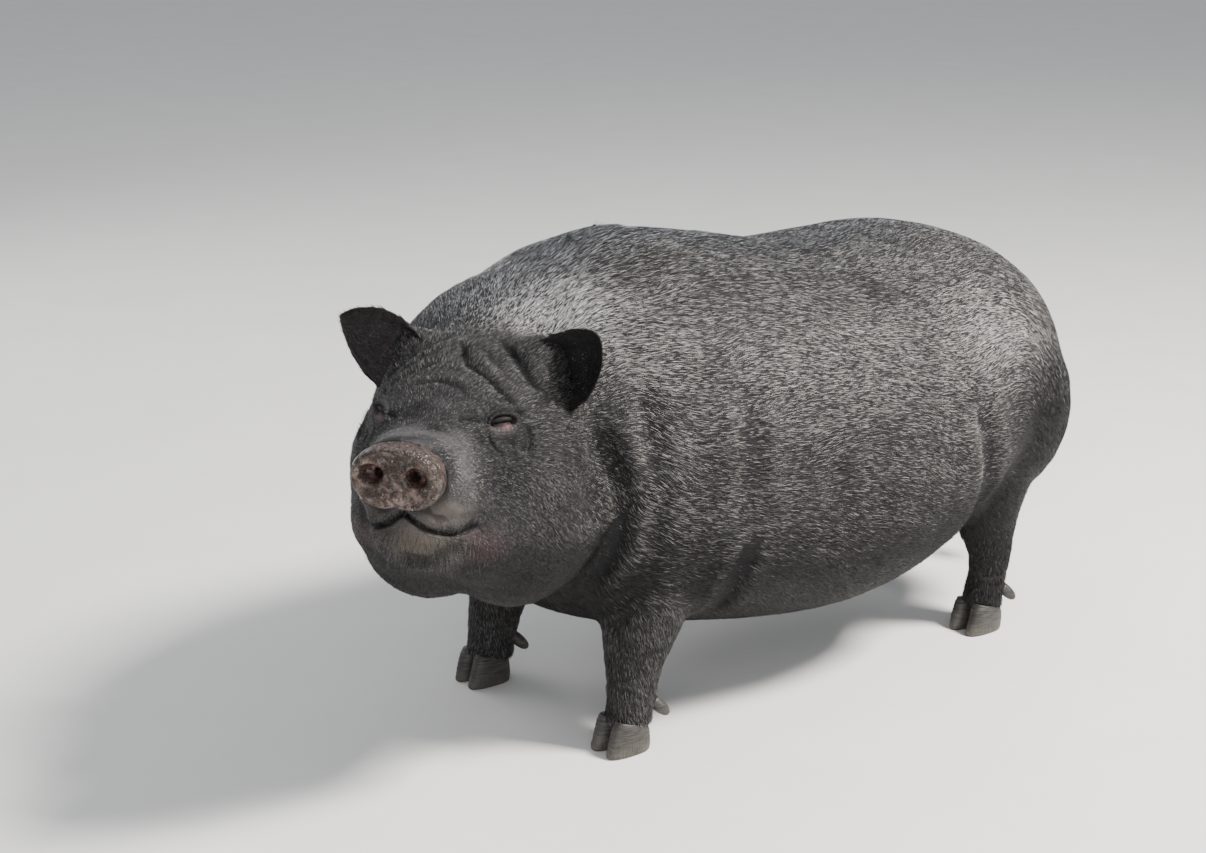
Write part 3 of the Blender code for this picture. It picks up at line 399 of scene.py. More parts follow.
def distance_to_path(points, path):
    """Distance of points to a run of segments, and how far along it they are, 0 to 1."""
    best = np.full(len(points), 1e9)
    along = np.zeros(len(points))
    count = len(path) - 1
    for k in range(count):
        a, b = path[k], path[k + 1]
        d = b - a
        t = np.clip((points - a) @ d / max(1e-12, d @ d), 0.0, 1.0)
        gap = np.linalg.norm(points - a - t[:, None] * d, axis=1)
        closer = gap < best
        best = np.where(closer, gap, best)
        along = np.where(closer, (k + t) / count, along)
    return best, along


def atlas(points, normals):
    """Unwrap of the skin's own shape: six flat charts side by side, by the way each place faces."""
    scale = 0.45
    low = np.array([-0.24, -0.56, -0.01])
    p = (points - low) * scale
    axis = np.argmax(np.abs(normals), axis=1)
    ahead = normals[np.arange(len(points)), axis] > 0
    uv = np.empty((len(points), 2))
    side = axis == 0
    uv[side] = np.stack((p[side, 1] + np.where(ahead[side], 0.005, 0.505), p[side, 2] + 0.005), 1)
    level = axis == 2
    uv[level] = np.stack((p[level, 1] + np.where(ahead[level], 0.005, 0.505), p[level, 0] + 0.275), 1)
    end = axis == 1
    uv[end] = np.stack((p[end, 0] + np.where(ahead[end], 0.005, 0.255), p[end, 2] + 0.520), 1)
    return uv


def paint(mesh, name, colours):
    """Store a colour for each vertex."""
    layer = mesh.attributes.new(name, "FLOAT_COLOR", "POINT")
    full = np.ones((len(colours), 4), dtype=np.float32)
    full[:, :3] = colours
    layer.data.foreach_set("color", full.ravel())


def mesh_from_arrays(name, points, loops, starts):
    """A mesh from vertex places, the vertex of each face corner, and where each face starts."""
    mesh = bpy.data.meshes.new(name)
    mesh.vertices.add(len(points))
    mesh.vertices.foreach_set("co", points.astype(np.float32).ravel())
    mesh.loops.add(len(loops))
    mesh.loops.foreach_set("vertex_index", loops.astype(np.int32))
    mesh.polygons.add(len(starts))
    mesh.polygons.foreach_set("loop_start", starts.astype(np.int32))
    mesh.update(calc_edges=True)
    mesh.validate()
    mesh.shade_smooth()
    return mesh


def grid_mesh(name, rings, capped=True):
    """A mesh of quads between rings of points, with a fan at each end where it is capped."""
    rows, count = len(rings), len(rings[0])
    points = np.array(rings).reshape(-1, 3)
    i = np.arange(rows - 1)[:, None] * count
    j = np.arange(count)[None, :]
    k = (j + 1) % count
    quads = np.stack((i + j, i + k, i + count + k, i + count + j), -1).reshape(-1, 4)
    loops = [quads.ravel()]
    starts = [np.arange(len(quads)) * 4]
    base = len(quads) * 4
    for row, turn in ((0, -1), (rows - 1, 1)) if capped else ():
        hub = len(points)
        points = np.vstack((points, points[row * count:(row + 1) * count].mean(0)))
        ring = np.arange(count) + row * count
        fan = np.stack((ring, np.roll(ring, -1), np.full(count, hub)), -1)
        loops.append(fan[:, ::turn].ravel())
        starts.append(base + np.arange(count) * 3)
        base += count * 3
    return mesh_from_arrays(name, points, np.concatenate(loops), np.concatenate(starts))


def wear(item, material):
    """Material and body of a piece."""
    item.data.materials.clear()
    item.data.materials.append(material)
    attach(item, "root")


# Folds and marks of the hide

# Width, depth, lip, then points; head folds in head axes, both kinds are made on each side
HEAD_FOLDS = (
    # brow
    (0.0034, 0.0021, 0.45, ((-0.010, -0.034, 0.087), (-0.003, -0.042, 0.083), (0.011, -0.063, 0.073),
                            (0.023, -0.071, 0.062), (0.041, -0.075, 0.054), (0.052, -0.077, 0.044),
                            (0.067, -0.077, 0.031), (0.074, -0.078, 0.022))),
    (0.0040, 0.0009, 0.40, ((0.012, -0.040, 0.088), (0.028, -0.052, 0.078), (0.046, -0.060, 0.064),
                            (0.062, -0.062, 0.048))),
    (0.0050, 0.0010, 0.40, ((0.000, -0.078, 0.062), (0.018, -0.084, 0.056), (0.034, -0.088, 0.046))),
    (0.0030, 0.0008, 0.40, ((-0.008, -0.098, 0.050), (0.014, -0.099, 0.046), (0.032, -0.101, 0.036))),
    # round the eye
    (0.0022, 0.0020, 0.30, ((0.030, -0.122, 0.021), (0.037, -0.117, 0.022), (0.047, -0.109, 0.021))),
    (0.0020, 0.0013, 0.50, ((0.052, -0.110, 0.010), (0.057, -0.108, 0.002), (0.065, -0.103, -0.007))),
    (0.0026, 0.0036, 0.40, ((0.079, -0.077, 0.021), (0.083, -0.077, 0.011), (0.085, -0.080, 0.002),
                            (0.084, -0.086, -0.006))),
    (0.0026, 0.0028, 0.50, ((0.052, -0.093, 0.042), (0.059, -0.086, 0.038), (0.065, -0.083, 0.034),
                            (0.071, -0.078, 0.029), (0.078, -0.074, 0.025))),
    (0.0030, 0.0024, 0.40, ((0.080, -0.062, 0.030), (0.082, -0.048, 0.037), (0.084, -0.034, 0.046))),
    (0.0020, 0.0012, 0.40, ((0.072, -0.094, 0.006), (0.074, -0.093, -0.003), (0.074, -0.094, -0.010))),
    # before the ear and on its base
    (0.0034, 0.0021, 0.40, ((0.022, -0.014, 0.092), (0.038, -0.028, 0.082), (0.053, -0.038, 0.068),
                            (0.068, -0.043, 0.054), (0.083, -0.039, 0.044))),
    (0.0026, 0.0014, 0.50, ((0.072, -0.035, 0.052), (0.061, -0.039, 0.067), (0.046, -0.031, 0.082),
                            (0.039, -0.016, 0.094), (0.046, 0.014, 0.100))),
    (0.0026, 0.0012, 0.50, ((0.080, -0.036, 0.057), (0.067, -0.038, 0.067), (0.056, -0.034, 0.079),
                            (0.053, -0.027, 0.089), (0.059, -0.020, 0.095))),
    # top of the muzzle
    (0.0030, 0.0012, 0.50, ((0.000, -0.150, 0.016), (0.022, -0.148, 0.011), (0.040, -0.144, -0.004))),
    (0.0030, 0.0008, 0.50, ((0.000, -0.139, 0.021), (0.024, -0.136, 0.015), (0.044, -0.132, -0.001))),
    # chin
    (0.0060, 0.0014, 0.40, ((-0.004, -0.154, -0.100), (0.012, -0.148, -0.102), (0.028, -0.141, -0.097),
                            (0.044, -0.132, -0.088))),
)
MOUTH_LINE = ((0.000, -0.160, -0.060), (0.014, -0.158, -0.070), (0.034, -0.148, -0.077),
              (0.046, -0.133, -0.077), (0.056, -0.125, -0.071))
BODY_FOLDS = (
    (0.0090, 0.0022, 0.40, ((0.150, -0.286, 0.370), (0.166, -0.265, 0.315), (0.169, -0.260, 0.284),
                            (0.161, -0.268, 0.247), (0.146, -0.277, 0.218), (0.120, -0.284, 0.185))),
    (0.0100, 0.0016, 0.50, ((0.157, -0.230, 0.407), (0.173, -0.233, 0.351), (0.179, -0.234, 0.291),
                            (0.172, -0.234, 0.226))),
    (0.0110, 0.0012, 0.50, ((0.183, -0.123, 0.395), (0.199, -0.127, 0.337), (0.202, -0.135, 0.254))),
    (0.0085, 0.0030, 0.40, ((0.196, -0.120, 0.225), (0.180, -0.135, 0.175), (0.140, -0.130, 0.125))),
    (0.0110, 0.0018, 0.40, ((0.214, 0.190, 0.330), (0.216, 0.215, 0.260), (0.190, 0.225, 0.190),
                            (0.150, 0.225, 0.140))),
)
# Rolls beside the line of the mouth: width, height, shift up from the line and forward
LIP_ROLLS = ((0.0060, 0.0034, 0.0090, 0.003), (0.0065, 0.0012, -0.0100, 0.002))
# Wrinkles round the legs: heights, depth
LEG_WRINKLES = ((0.060, 0.0006), (0.074, 0.0008), (0.088, 0.0006), (0.112, 0.0006))


def fold_runs():
    """All folds as world paths with their width, depth and lip."""
    out = []
    for _, side in SIDES:
        flip = Matrix.Diagonal((side, 1.0, 1.0, 1.0))
        for table, axes in ((HEAD_FOLDS, HEAD @ flip), (BODY_FOLDS, BODY @ flip)):
            for width, depth, lip, points in table:
                out.append((width, depth, lip, moved(axes, curve_through(points, 8))))
    return out


def mouth_run():
    """The line of the mouth from corner to corner, in the world."""
    half = curve_through(MOUTH_LINE, 8)
    other = half[:0:-1] * np.array([-1.0, 1.0, 1.0])
    return moved(HEAD, np.vstack((other, half)))


def laid_on(tree, path):
    """A path brought onto the skin."""
    return np.array([tree.find_nearest(Vector(point))[0] for point in path])


def press(points, normals, path, width, depth, lip):
    """Press one fold into the hide, with a low swell at its sides; a negative depth makes a roll."""
    low, high = path.min(0) - width * 4, path.max(0) + width * 4
    near = np.flatnonzero(np.all((points > low) & (points < high), axis=1))
    gap, along = distance_to_path(points[near], path)
    fade = np.minimum(1.0, np.minimum(along, 1.0 - along) * 5.0 + 0.08)
    dip = bell(gap, 0.0, width) - lip * bell(gap, 2.0 * width, width)
    points[near] -= normals[near] * (depth * dip * fade)[:, None]


def eye_box(side):
    """Low and high corner of an eye's CAD ball."""
    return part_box("eye_left" if side > 0 else "eye_right")


def on_ball(x, z, side):
    """How far ahead of an eye's centre its ball is there, as a place along the gaze."""
    low, high = eye_box(side)
    radius = (high - low).length / math.sqrt(12)
    return -np.sqrt(np.maximum(0.20 * radius ** 2, radius ** 2 - x ** 2 - z ** 2))


def eye_axes(side):
    """World axes of an eye at its CAD ball's centre; the gaze is -Y."""
    low, high = eye_box(side)
    turn = (HEAD.to_3x3().to_4x4() @ Matrix.Rotation(EYE_OUTWARD * side, 4, "Z")
            @ Matrix.Rotation(-EYE_UPWARD, 4, "X"))
    return Matrix.Translation((low + high) / 2) @ turn


def ear_axes(side):
    """Lean and opening of an ear, in head axes."""
    out = EAR_OUT[side]
    lean = Vector((math.sin(out) * side, math.sin(EAR_BACK), math.cos(out))).normalized()
    opening = Vector((math.sin(EAR_OPEN_OUT) * side, -math.cos(EAR_OPEN_OUT), 0.0))
    return lean, (opening - lean * opening.dot(lean)).normalized()


def ear_shape(side, tree):
    """One ear: a thin cupped leaf with rounded rims and a ridged bowl, its root sunk in the head."""
    lean, opening = ear_axes(side)
    wide = lean.cross(opening).normalized() * -side
    root = Vector((EAR_ROOT.x * side, EAR_ROOT.y, EAR_ROOT.z))
    far = HEAD @ (root + lean * EAR_LENGTH * 2.0)
    skin = HEAD.inverted() @ tree.ray_cast(far, (HEAD @ root - far).normalized())[0]
    root = np.array(skin - lean * EAR_SUNK)
    lean, opening, wide = np.array(lean), np.array(opening), np.array(wide)
    narrow, point, base, growth = EAR_OUTLINE
    s = np.concatenate((np.linspace(-1, 1, EAR_COLUMNS), np.linspace(1, -1, EAR_COLUMNS)[1:-1]))
    inner = np.concatenate((np.zeros(EAR_COLUMNS), np.ones(EAR_COLUMNS - 2)))
    rings = []
    for v in 1.0 - (1.0 - np.linspace(0, 1, EAR_ROWS + 1)) ** 1.5:
        half = EAR_HALF_WIDTH * (1.0 - v ** narrow) ** point * (base + growth * v) + EAR_TIP_HALF
        half *= 1.0 + 0.012 * math.sin(v * 23 + side) + 0.008 * math.sin(v * 51)
        wrap = math.radians(EAR_WRAP[0] + (EAR_WRAP[1] - EAR_WRAP[0]) * v)
        radius = half / math.sin(wrap)
        thick = EAR_THICK * (1.0 - 0.50 * v) * np.maximum(0.0, 1.0 - np.abs(s) ** 5) ** 0.5
        thick = thick * (1.0 - 0.35 * s * s)
        ridge = EAR_RIDGE[0] * bell(v, *EAR_RIDGE[1:]) * np.sin(s * 9.0 + 3.0 * v)
        ridge += 0.0004 * np.sin(s * 31.0 + 9.0 * v) * (1.0 - v)
        rim = EAR_RIM[0] * bell(np.abs(s), *EAR_RIM[1:])
        spine = root + lean * (EAR_LENGTH * v)
        spine = spine + opening * (EAR_CURL * v * v) + wide * (EAR_SWEEP[side] * v * v)
        middle = spine + opening * (radius * math.cos(wrap) * EAR_AXIS_SHARE)
        around = wide[None] * np.sin(wrap * s)[:, None] - opening[None] * np.cos(wrap * s)[:, None]
        reach = radius + rim * 0.5 - inner * (thick + ridge + rim)
        rings.append(moved(HEAD, middle + around * reach[:, None]))
    mesh = grid_mesh("ear", np.array(rings))
    points, tris = points_of(mesh), triangles_of(mesh)
    a, b, c = (points[tris[:, k]] - points.mean(0) for k in range(3))
    if (a * np.cross(b, c)).sum() < 0:
        mesh.flip_normals()
    cup = np.concatenate((np.tile(inner, len(rings)), (0.0, 0.0)))
    return mesh, cup


# The skin

# Colours of the hide
HIDE = (0.015, 0.0142, 0.0148)
LIP = (0.118, 0.098, 0.078)
PAD = (0.150, 0.128, 0.112)
PAD_SPOT = (0.026, 0.018, 0.015)
WARM = (0.125, 0.055, 0.056)
# Paler muzzle, painted as a sheen of light
MUZZLE_SHEEN = (0.108, 0.101, 0.105)
LID = (0.092, 0.079, 0.077)
LID_UPPER = (0.030, 0.026, 0.026)
LID_PINK = (0.290, 0.125, 0.125)
# Black of the lids' wet margins, also used as painted shade in the upper lid's crease
LID_MARGIN_AND_CREASE_SHADE = (0.007, 0.005, 0.005)
EAR_INNER = (0.014, 0.0125, 0.0135)
# Inside of the far ear, painted paler than the near one as painted light
EAR_INNER_FAR_LIT = (0.060, 0.050, 0.052)
# Ear's lower lobe painted paler grey where it catches the light, a painted highlight
LOBE_LIT = (0.075, 0.068, 0.064)
# Coloured places of the head, in head axes: middle and reach
# The lip spot lies toward the near side, so the far side of the lip stays dark as painted shade
LIP_SPOT = ((0.012, -0.156, -0.087), (0.038, 0.034, 0.017))
PAD_PLACE = ((0.036, -0.160, -0.056), (0.021, 0.026, 0.0125))
WARM_PLACE = ((0.060, -0.118, -0.092), (0.016, 0.022, 0.016))
# where the ear's lobe is painted paler as a painted highlight
LOBE_PLACE = ((0.092, -0.034, 0.034), (0.016, 0.022, 0.016))

# Values painted on the skin for the coat
SKIN_MARKS = ("head", "ears", "cup", "legs", "tail", "ear_left", "neck", "bare")
# How far a knot left by the crest's locks goes under the coat
KNOT_DROP = 0.0045
# In head axes, where the finer mesh of the head and of the face ends behind
NAPE_BACK = 0.020
FACE_BACK = -0.088
# Smoothing steps: crest, whole skin, bulk of the body, finer head, seams of lids and ears
CREST_STEPS = 110
WHOLE_STEPS = 14
BULK_STEPS = 60
HEAD_STEPS = 10
SEAM_STEPS = 5
# Softening steps of the masks on the coarse and on the finer mesh
COARSE_SOFT = 10
FINE_SOFT = 12
# Line of the mouth: width, depth, lip
MOUTH_PRESS = (0.0021, 0.0080, 0.10)
WRINKLE_HALF = 0.0028
# Broad rolls and small lumps of fat on the body, finer grain on the head: height, waves in a metre, seed
BODY_LUMPS = ((0.0012, 28.0, SEED + 5), (0.0004, 120.0, SEED + 6))
HEAD_GRAIN = (0.00022, 420.0, SEED + 7)


def lid_patch(side, tree):
    """Lids and the creased skin round one eye, as rings from the slit outward."""
    axes = eye_axes(side)
    inverse = axes.inverted()
    keys = np.array(LID_PROFILE)
    share = np.concatenate([np.linspace(a, b, 4)[:3] for a, b in zip(keys[:-1, 0], keys[1:, 0])] + [[1.0]])
    smooth = curve_through(LID_PROFILE, 3)
    angle = np.arange(LID_AROUND) * 2 * math.pi / LID_AROUND
    cos_a, sin_a = np.cos(angle), np.sin(angle)
    inner_z = np.where(sin_a > 0, SLIT_UP, SLIT_DOWN) * sin_a * (1.15 - 0.35 * np.abs(cos_a))
    inner = np.stack((cos_a * SLIT_HALF_LENGTH, inner_z), 1)
    outer = np.stack((cos_a * LID_REACH[0], sin_a * LID_REACH[1]), 1)
    turn = SLIT_TURN
    inward = turned(axes, np.array([[0.0, 1.0, 0.0]]))[0]

    def to_eye(flat):
        x = (flat[:, 0] * math.cos(turn) + flat[:, 1] * math.sin(turn)) * side
        return x, -flat[:, 0] * math.sin(turn) + flat[:, 1] * math.cos(turn)

    edge_x, edge_z = to_eye(outer)
    start = moved(axes, np.stack((edge_x, np.full(LID_AROUND, -0.06), edge_z), 1))
    edge = []
    for point in start:
        hit = tree.ray_cast(Vector(point), Vector(inward))[0]
        edge.append((inverse @ hit).y)
    edge = np.array(edge)
    middle = edge.mean() - LID_AHEAD
    upper = 0.5 + 0.5 * np.tanh(sin_a * 4.0)
    rings = []
    for t, up_height, down_height in zip(share, smooth[:, 1], smooth[:, 2]):
        x, z = to_eye(inner * (1 - t) + outer * t)
        skin = middle + (edge - middle) * t ** 1.5
        ball = on_ball(x, z, side)
        mix = step_up(t, 0.10, 0.62)
        height = up_height * upper + down_height * (1 - upper)
        creases = LID_CREASES[0] * np.sin(angle * LID_CREASES[1] + 5 * t)
        creases = creases * np.maximum(np.abs(cos_a) ** 1.5, 0.7 * (sin_a < 0))
        creases = creases * step_up(t, 0.25, 0.40) * step_up(-t, -0.95, -0.75)
        depth = ball * (1 - mix) + skin * mix - height - creases
        rings.append(moved(axes, np.stack((x, depth, z), 1)))
    patch = grid_mesh("lids", np.array(rings), capped=False)
    facing = np.zeros(3)
    for polygon in patch.polygons:
        facing += np.array(polygon.normal) * polygon.area
    if facing @ inward > 0:
        patch.flip_normals()
    outward = np.repeat(share, LID_AROUND)
    return patch, outward, np.tile(upper, len(share)), np.tile(cos_a * side, len(share))


def lid_reach(points, side):
    """How far places are from an eye's middle, 1 at the edge of its lid patch; far behind it is 9."""
    local = moved(eye_axes(side).inverted(), points)
    x = local[:, 0] * side
    u = x * math.cos(SLIT_TURN) - local[:, 2] * math.sin(SLIT_TURN)
    w = x * math.sin(SLIT_TURN) + local[:, 2] * math.cos(SLIT_TURN)
    reach = np.sqrt((u / LID_REACH[0]) ** 2 + (w / LID_REACH[1]) ** 2)
    return np.where(np.abs(local[:, 1] + 0.008) < 0.028, reach, 9.0)


def flesh_mesh():
    """Copies of the flesh nodes in one mesh, with each face's node."""
    shape = bmesh.new()
    owner = []
    for index, name in enumerate(FLESH):
        own = opened(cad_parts[name].data)
        bmesh.ops.remove_doubles(own, verts=own.verts, dist=0.00001)
        mesh = bpy.data.meshes.new("part")
        closed(own, mesh)
        shape.from_mesh(mesh)
        owner.extend([index] * (len(shape.faces) - len(owner)))
        bpy.data.meshes.remove(mesh)
    shape.normal_update()
    tree = BVHTree.FromBMesh(shape)
    mesh = bpy.data.meshes.new("flesh")
    closed(shape, mesh)
    return mesh, tree, np.array(owner)


def applied(item):
    """Replace an object's mesh by its worked-out mesh."""
    bpy.context.view_layer.update()
    graph = bpy.context.evaluated_depsgraph_get()
    mesh = bpy.data.meshes.new_from_object(item.evaluated_get(graph), depsgraph=graph)
    item.modifiers.clear()
    old = item.data
    item.data = mesh
    bpy.data.meshes.remove(old)


def keep_largest(item):
    """Delete every loose bit of a mesh but the largest."""
    shape = opened(item.data)
    left = set(shape.verts)
    parts = []
    while left:
        front = [left.pop()]
        part = list(front)
        while front:
            vertex = front.pop()
            for edge in vertex.link_edges:
                other = edge.other_vert(vertex)
                if other in left:
                    left.remove(other)
                    front.append(other)
                    part.append(other)
        parts.append(part)
    parts.sort(key=len)
    loose = [vertex for part in parts[:-1] for vertex in part]
    bmesh.ops.delete(shape, geom=loose, context="VERTS")
    closed(shape, item.data)


def node_masks(points, edges, tree, owner, softness):
    """For each flesh node, a soft mask of the skin that came from it."""
    nearest = np.array([owner[tree.find_nearest(Vector(p))[2]] for p in points])
    return {name: spread_mask(nearest == k, edges, softness) for k, name in enumerate(FLESH)}


def crest_line(points):
    """How far back places are, and how far to the side the crest's line lies there."""
    y = points[:, 1] - STAND.y
    return y, 0.018 * np.maximum(0.0, (-0.20 - y) / 0.10)


def crest_mask(points):
    """Where the crest stands, from the nape over the withers."""
    y, bend = crest_line(points)
    across = step_up(-np.abs(points[:, 0] - bend), -0.080, -0.050)
    along = step_up(y, -0.375, -0.325) * step_up(-y, -0.200, -0.130)
    return across * along * step_up(points[:, 2], 0.400, 0.430)


def split_faces(item, wanted):
    """Cut the wanted faces' edges in two, so that the mesh is finer there."""
    shape = opened(item.data)
    shape.faces.ensure_lookup_table()
    chosen = set()
    for k in np.flatnonzero(wanted):
        chosen.update(shape.faces[k].edges)
    bmesh.ops.subdivide_edges(shape, edges=list(chosen), cuts=1, use_grid_fill=True)
    closed(shape, item.data)


def face_means(mesh, values):
    """Mean of a vertex value over each face."""
    corners = fetch(mesh.loops, "vertex_index", 1, np.int32)
    totals = fetch(mesh.polygons, "loop_total", 1, np.int32)
    face = np.repeat(np.arange(len(totals)), totals)
    return np.bincount(face, values[corners], len(totals)) / totals


def pelt(points, masks, lids, mouth):
    """Colour of the hide: charcoal, paler on lips and lids, black in the near ear; painted shade in the line of the
    mouth and in the upper lid's crease, painted light on the muzzle, the ear's lobe and inside the far ear.
    """
    head = in_head(points)
    colour = np.tile(np.array(HIDE), (len(points), 1))
    cloud = 0.5 + 0.3 * ripple(points, 14.0, SEED) + 0.25 * ripple(points, 75.0, SEED + 30)
    colour *= (0.70 + 0.60 * cloud)[:, None]

    def tint(shade, share):
        colour[:] += (np.array(shade) - colour) * share[:, None]

    def spot(place, reach, both=False):
        x = np.abs(head[:, 0]) if both else head[:, 0]
        away = np.stack((x - place[0], head[:, 1] - place[1], head[:, 2] - place[2]), 1)
        return np.exp(-((away / np.array(reach)) ** 2).sum(1))

    patchy = np.clip(0.62 + 0.42 * ripple(points, 170.0, SEED + 31), 0, 1)
    spots = step_up(ripple(points, 400.0, SEED + 36), 0.10, 0.45)
    # the muzzle painted paler as a painted sheen
    tint(MUZZLE_SHEEN, 0.70 * step_up(-head[:, 1], 0.100, 0.150) * patchy)
    tint(LIP, 0.90 * spot(*LIP_SPOT) * (0.6 + 0.4 * patchy))
    pad = spot(*PAD_PLACE, True)
    # the pad is painted darker on the far side, as painted shade
    near = 0.30 + 0.70 * step_up(head[:, 0], -0.010, 0.020)
    tint(PAD, 0.90 * pad * near * (0.75 + 0.25 * patchy))
    tint(PAD_SPOT, 0.90 * pad * spots)
    tint(WARM, 0.35 * spot(*WARM_PLACE, True))
    # lids: black wet margins, the lower lid pinkish
    share, upper, across = lids
    tint(LID_UPPER, 0.85 * bell(share, 0.17, 0.10) * upper)
    tint(LID_MARGIN_AND_CREASE_SHADE, step_up(-share / (0.35 + 0.65 * upper), -0.095, -0.04))
    tint(LID, 0.65 * bell(share, 0.42, 0.30) * (1 - upper))
    tint(LID_PINK, 0.48 * np.exp(-((share - 0.30) / 0.15) ** 2 - ((across - 0.25) / 0.34) ** 2) * (1 - upper))
    # painted shade in the crease over the upper lid
    tint(LID_MARGIN_AND_CREASE_SHADE, 0.50 * bell(share, 0.33, 0.05) * upper)
    tint(EAR_INNER, 0.8 * masks["cup"] * masks["ear_left"])
    # the far ear's inside painted paler as painted light
    tint(EAR_INNER_FAR_LIT, 0.8 * masks["cup"] * (1 - masks["ear_left"]))
    # painted highlight on the ear's lower lobe
    tint(LOBE_LIT, 0.8 * masks["ears"] * spot(*LOBE_PLACE, True))
    # the line of the mouth: dark hair along it and painted shade under the upper lip, wider above
    gap, _ = distance_to_path(points, mouth)
    above = step_up(turned(HEAD.inverted(), points - mouth[len(mouth) // 2])[:, 2], -0.02, 0.0)
    colour *= (1.0 - 0.85 * np.exp(-(gap / (0.0024 + 0.0014 * above)) ** 2))[:, None]
    return np.clip(colour, 0.002, 1.0)


def mask_set(points, edges, tree, owner, softness):
    """The soft masks that the skin and the coat use."""
    masks = node_masks(points, edges, tree, owner, softness)
    masks["legs"] = np.clip(sum(masks[name] for name in FLESH if "leg" in name), 0, 1)
    return masks


def build_skin(settings):
    """One skin over all the flesh, worked over with lids, folds, lips and wrinkles."""
    mesh, tree, owner = flesh_mesh()
    item = new_object("skin", mesh)
    melt = item.modifiers.new("melt", "REMESH")
    melt.mode = "VOXEL"
    melt.voxel_size = settings.voxel
    applied(item)
    keep_largest(item)
    points, edges = points_of(item.data), edges_of(item.data)
    points = relax(points, edges, crest_mask(points), CREST_STEPS, keep_volume=False)
    masks = mask_set(points, edges, tree, owner, COARSE_SOFT)
    points = relax(points, edges, 1.0 - 0.5 * masks["head"], WHOLE_STEPS)
    bulk = np.clip(1.0 - masks["head"] - masks["legs"] - masks["tail"], 0, 1)
    points = relax(points, edges, bulk, BULK_STEPS)
    set_points(item.data, points)
    # knots left where a lock of the crest met the back go under the coat
    knots = (crest_mask(points) > 0.3) & (normals_of(item.data)[:, 2] < 0.45)
    points[:, 2] -= KNOT_DROP * np.minimum(1.0, 3.0 * spread_mask(knots, edges, 3))
    set_points(item.data, points)
    fore = masks["head"] * (in_head(points)[:, 1] < NAPE_BACK)
    split_faces(item, face_means(item.data, fore) > 0.5)
    points, edges = points_of(item.data), edges_of(item.data)
    masks = mask_set(points, edges, tree, owner, FINE_SOFT)
    points = relax(points, edges, masks["head"], HEAD_STEPS)
    set_points(item.data, points)
    normals = normals_of(item.data)
    depth = settings.inset * (1.0 - 0.55 * masks["head"] - 0.45 * masks["legs"])
    points = points - normals * (depth * (1.0 - masks["tail"]))[:, None]
    set_points(item.data, points)
    front = masks["head"] * (in_head(points)[:, 1] < FACE_BACK)
    split_faces(item, face_means(item.data, front) > 0.5)
    lids, cups = add_lids_and_ears(item)
    points, edges = points_of(item.data), edges_of(item.data)
    masks = mask_set(points, edges, tree, owner, FINE_SOFT)
    grafted = (lids[0] < 2.0) | (cups[0] != 0)
    for name in masks:
        masks[name][grafted] = 1.0 if name == "head" else 0.0
    masks["ears"] = (cups[0] != 0).astype(np.float64)
    masks["ear_left"] = (cups[0] > 0).astype(np.float64)
    masks["cup"] = cups[1]
    points = relax(points, edges, masks["head"] * ~grafted, SEAM_STEPS)
    set_points(item.data, points)
    normals = normals_of(item.data)
    shape = opened(item.data)
    surface = BVHTree.FromBMesh(shape)
    shape.free()
    soft_normals = normals * (1.0 - masks["ears"])[:, None]
    for width, dip, lip, path in fold_runs():
        press(points, soft_normals, laid_on(surface, path), width, dip, lip)
    mouth = mouth_run()
    for width, height, up, ahead in LIP_ROLLS:
        beside = mouth + turned(HEAD, np.array([[0.0, -ahead, up]]))
        press(points, soft_normals, laid_on(surface, beside), width, -height, 0.0)
    press(points, soft_normals, laid_on(surface, mouth), *MOUTH_PRESS)
    for height, dip in LEG_WRINKLES:
        wobble = height + 0.003 * ripple(points, 45.0, SEED + int(height * 1000))
        ring = masks["legs"] * dip * bell(points[:, 2], wobble, WRINKLE_HALF)
        points -= normals * ring[:, None]
    for height, waves, seed in BODY_LUMPS:
        points += soft_normals * (height * ripple(points, waves, seed))[:, None]
    height, waves, seed = HEAD_GRAIN
    points += soft_normals * (height * ripple(points, waves, seed) * masks["head"])[:, None]
    set_points(item.data, points)
    item.data.shade_smooth()
    paint(item.data, "pelt", pelt(points, masks, lids, laid_on(surface, mouth)))
    masks["bare"] = step_up(-lids[0], -0.24, -0.10)
    for name in SKIN_MARKS:
        layer = item.data.attributes.new("at_" + name, "FLOAT", "POINT")
        layer.data.foreach_set("value", masks[name].astype(np.float32))
    corners = fetch(item.data.loops, "vertex_index", 1, np.int32)
    count = fetch(item.data.polygons, "loop_total", 1, np.int32)
    facing = np.repeat(fetch(item.data.polygons, "normal", 3), count, axis=0)
    uv = item.data.uv_layers.new(name="OFBake")
    uv.data.foreach_set("uv", atlas(points[corners], facing).astype(np.float32).ravel())
    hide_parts(*FLESH, *EARS)
    wear(item, hide_finish())


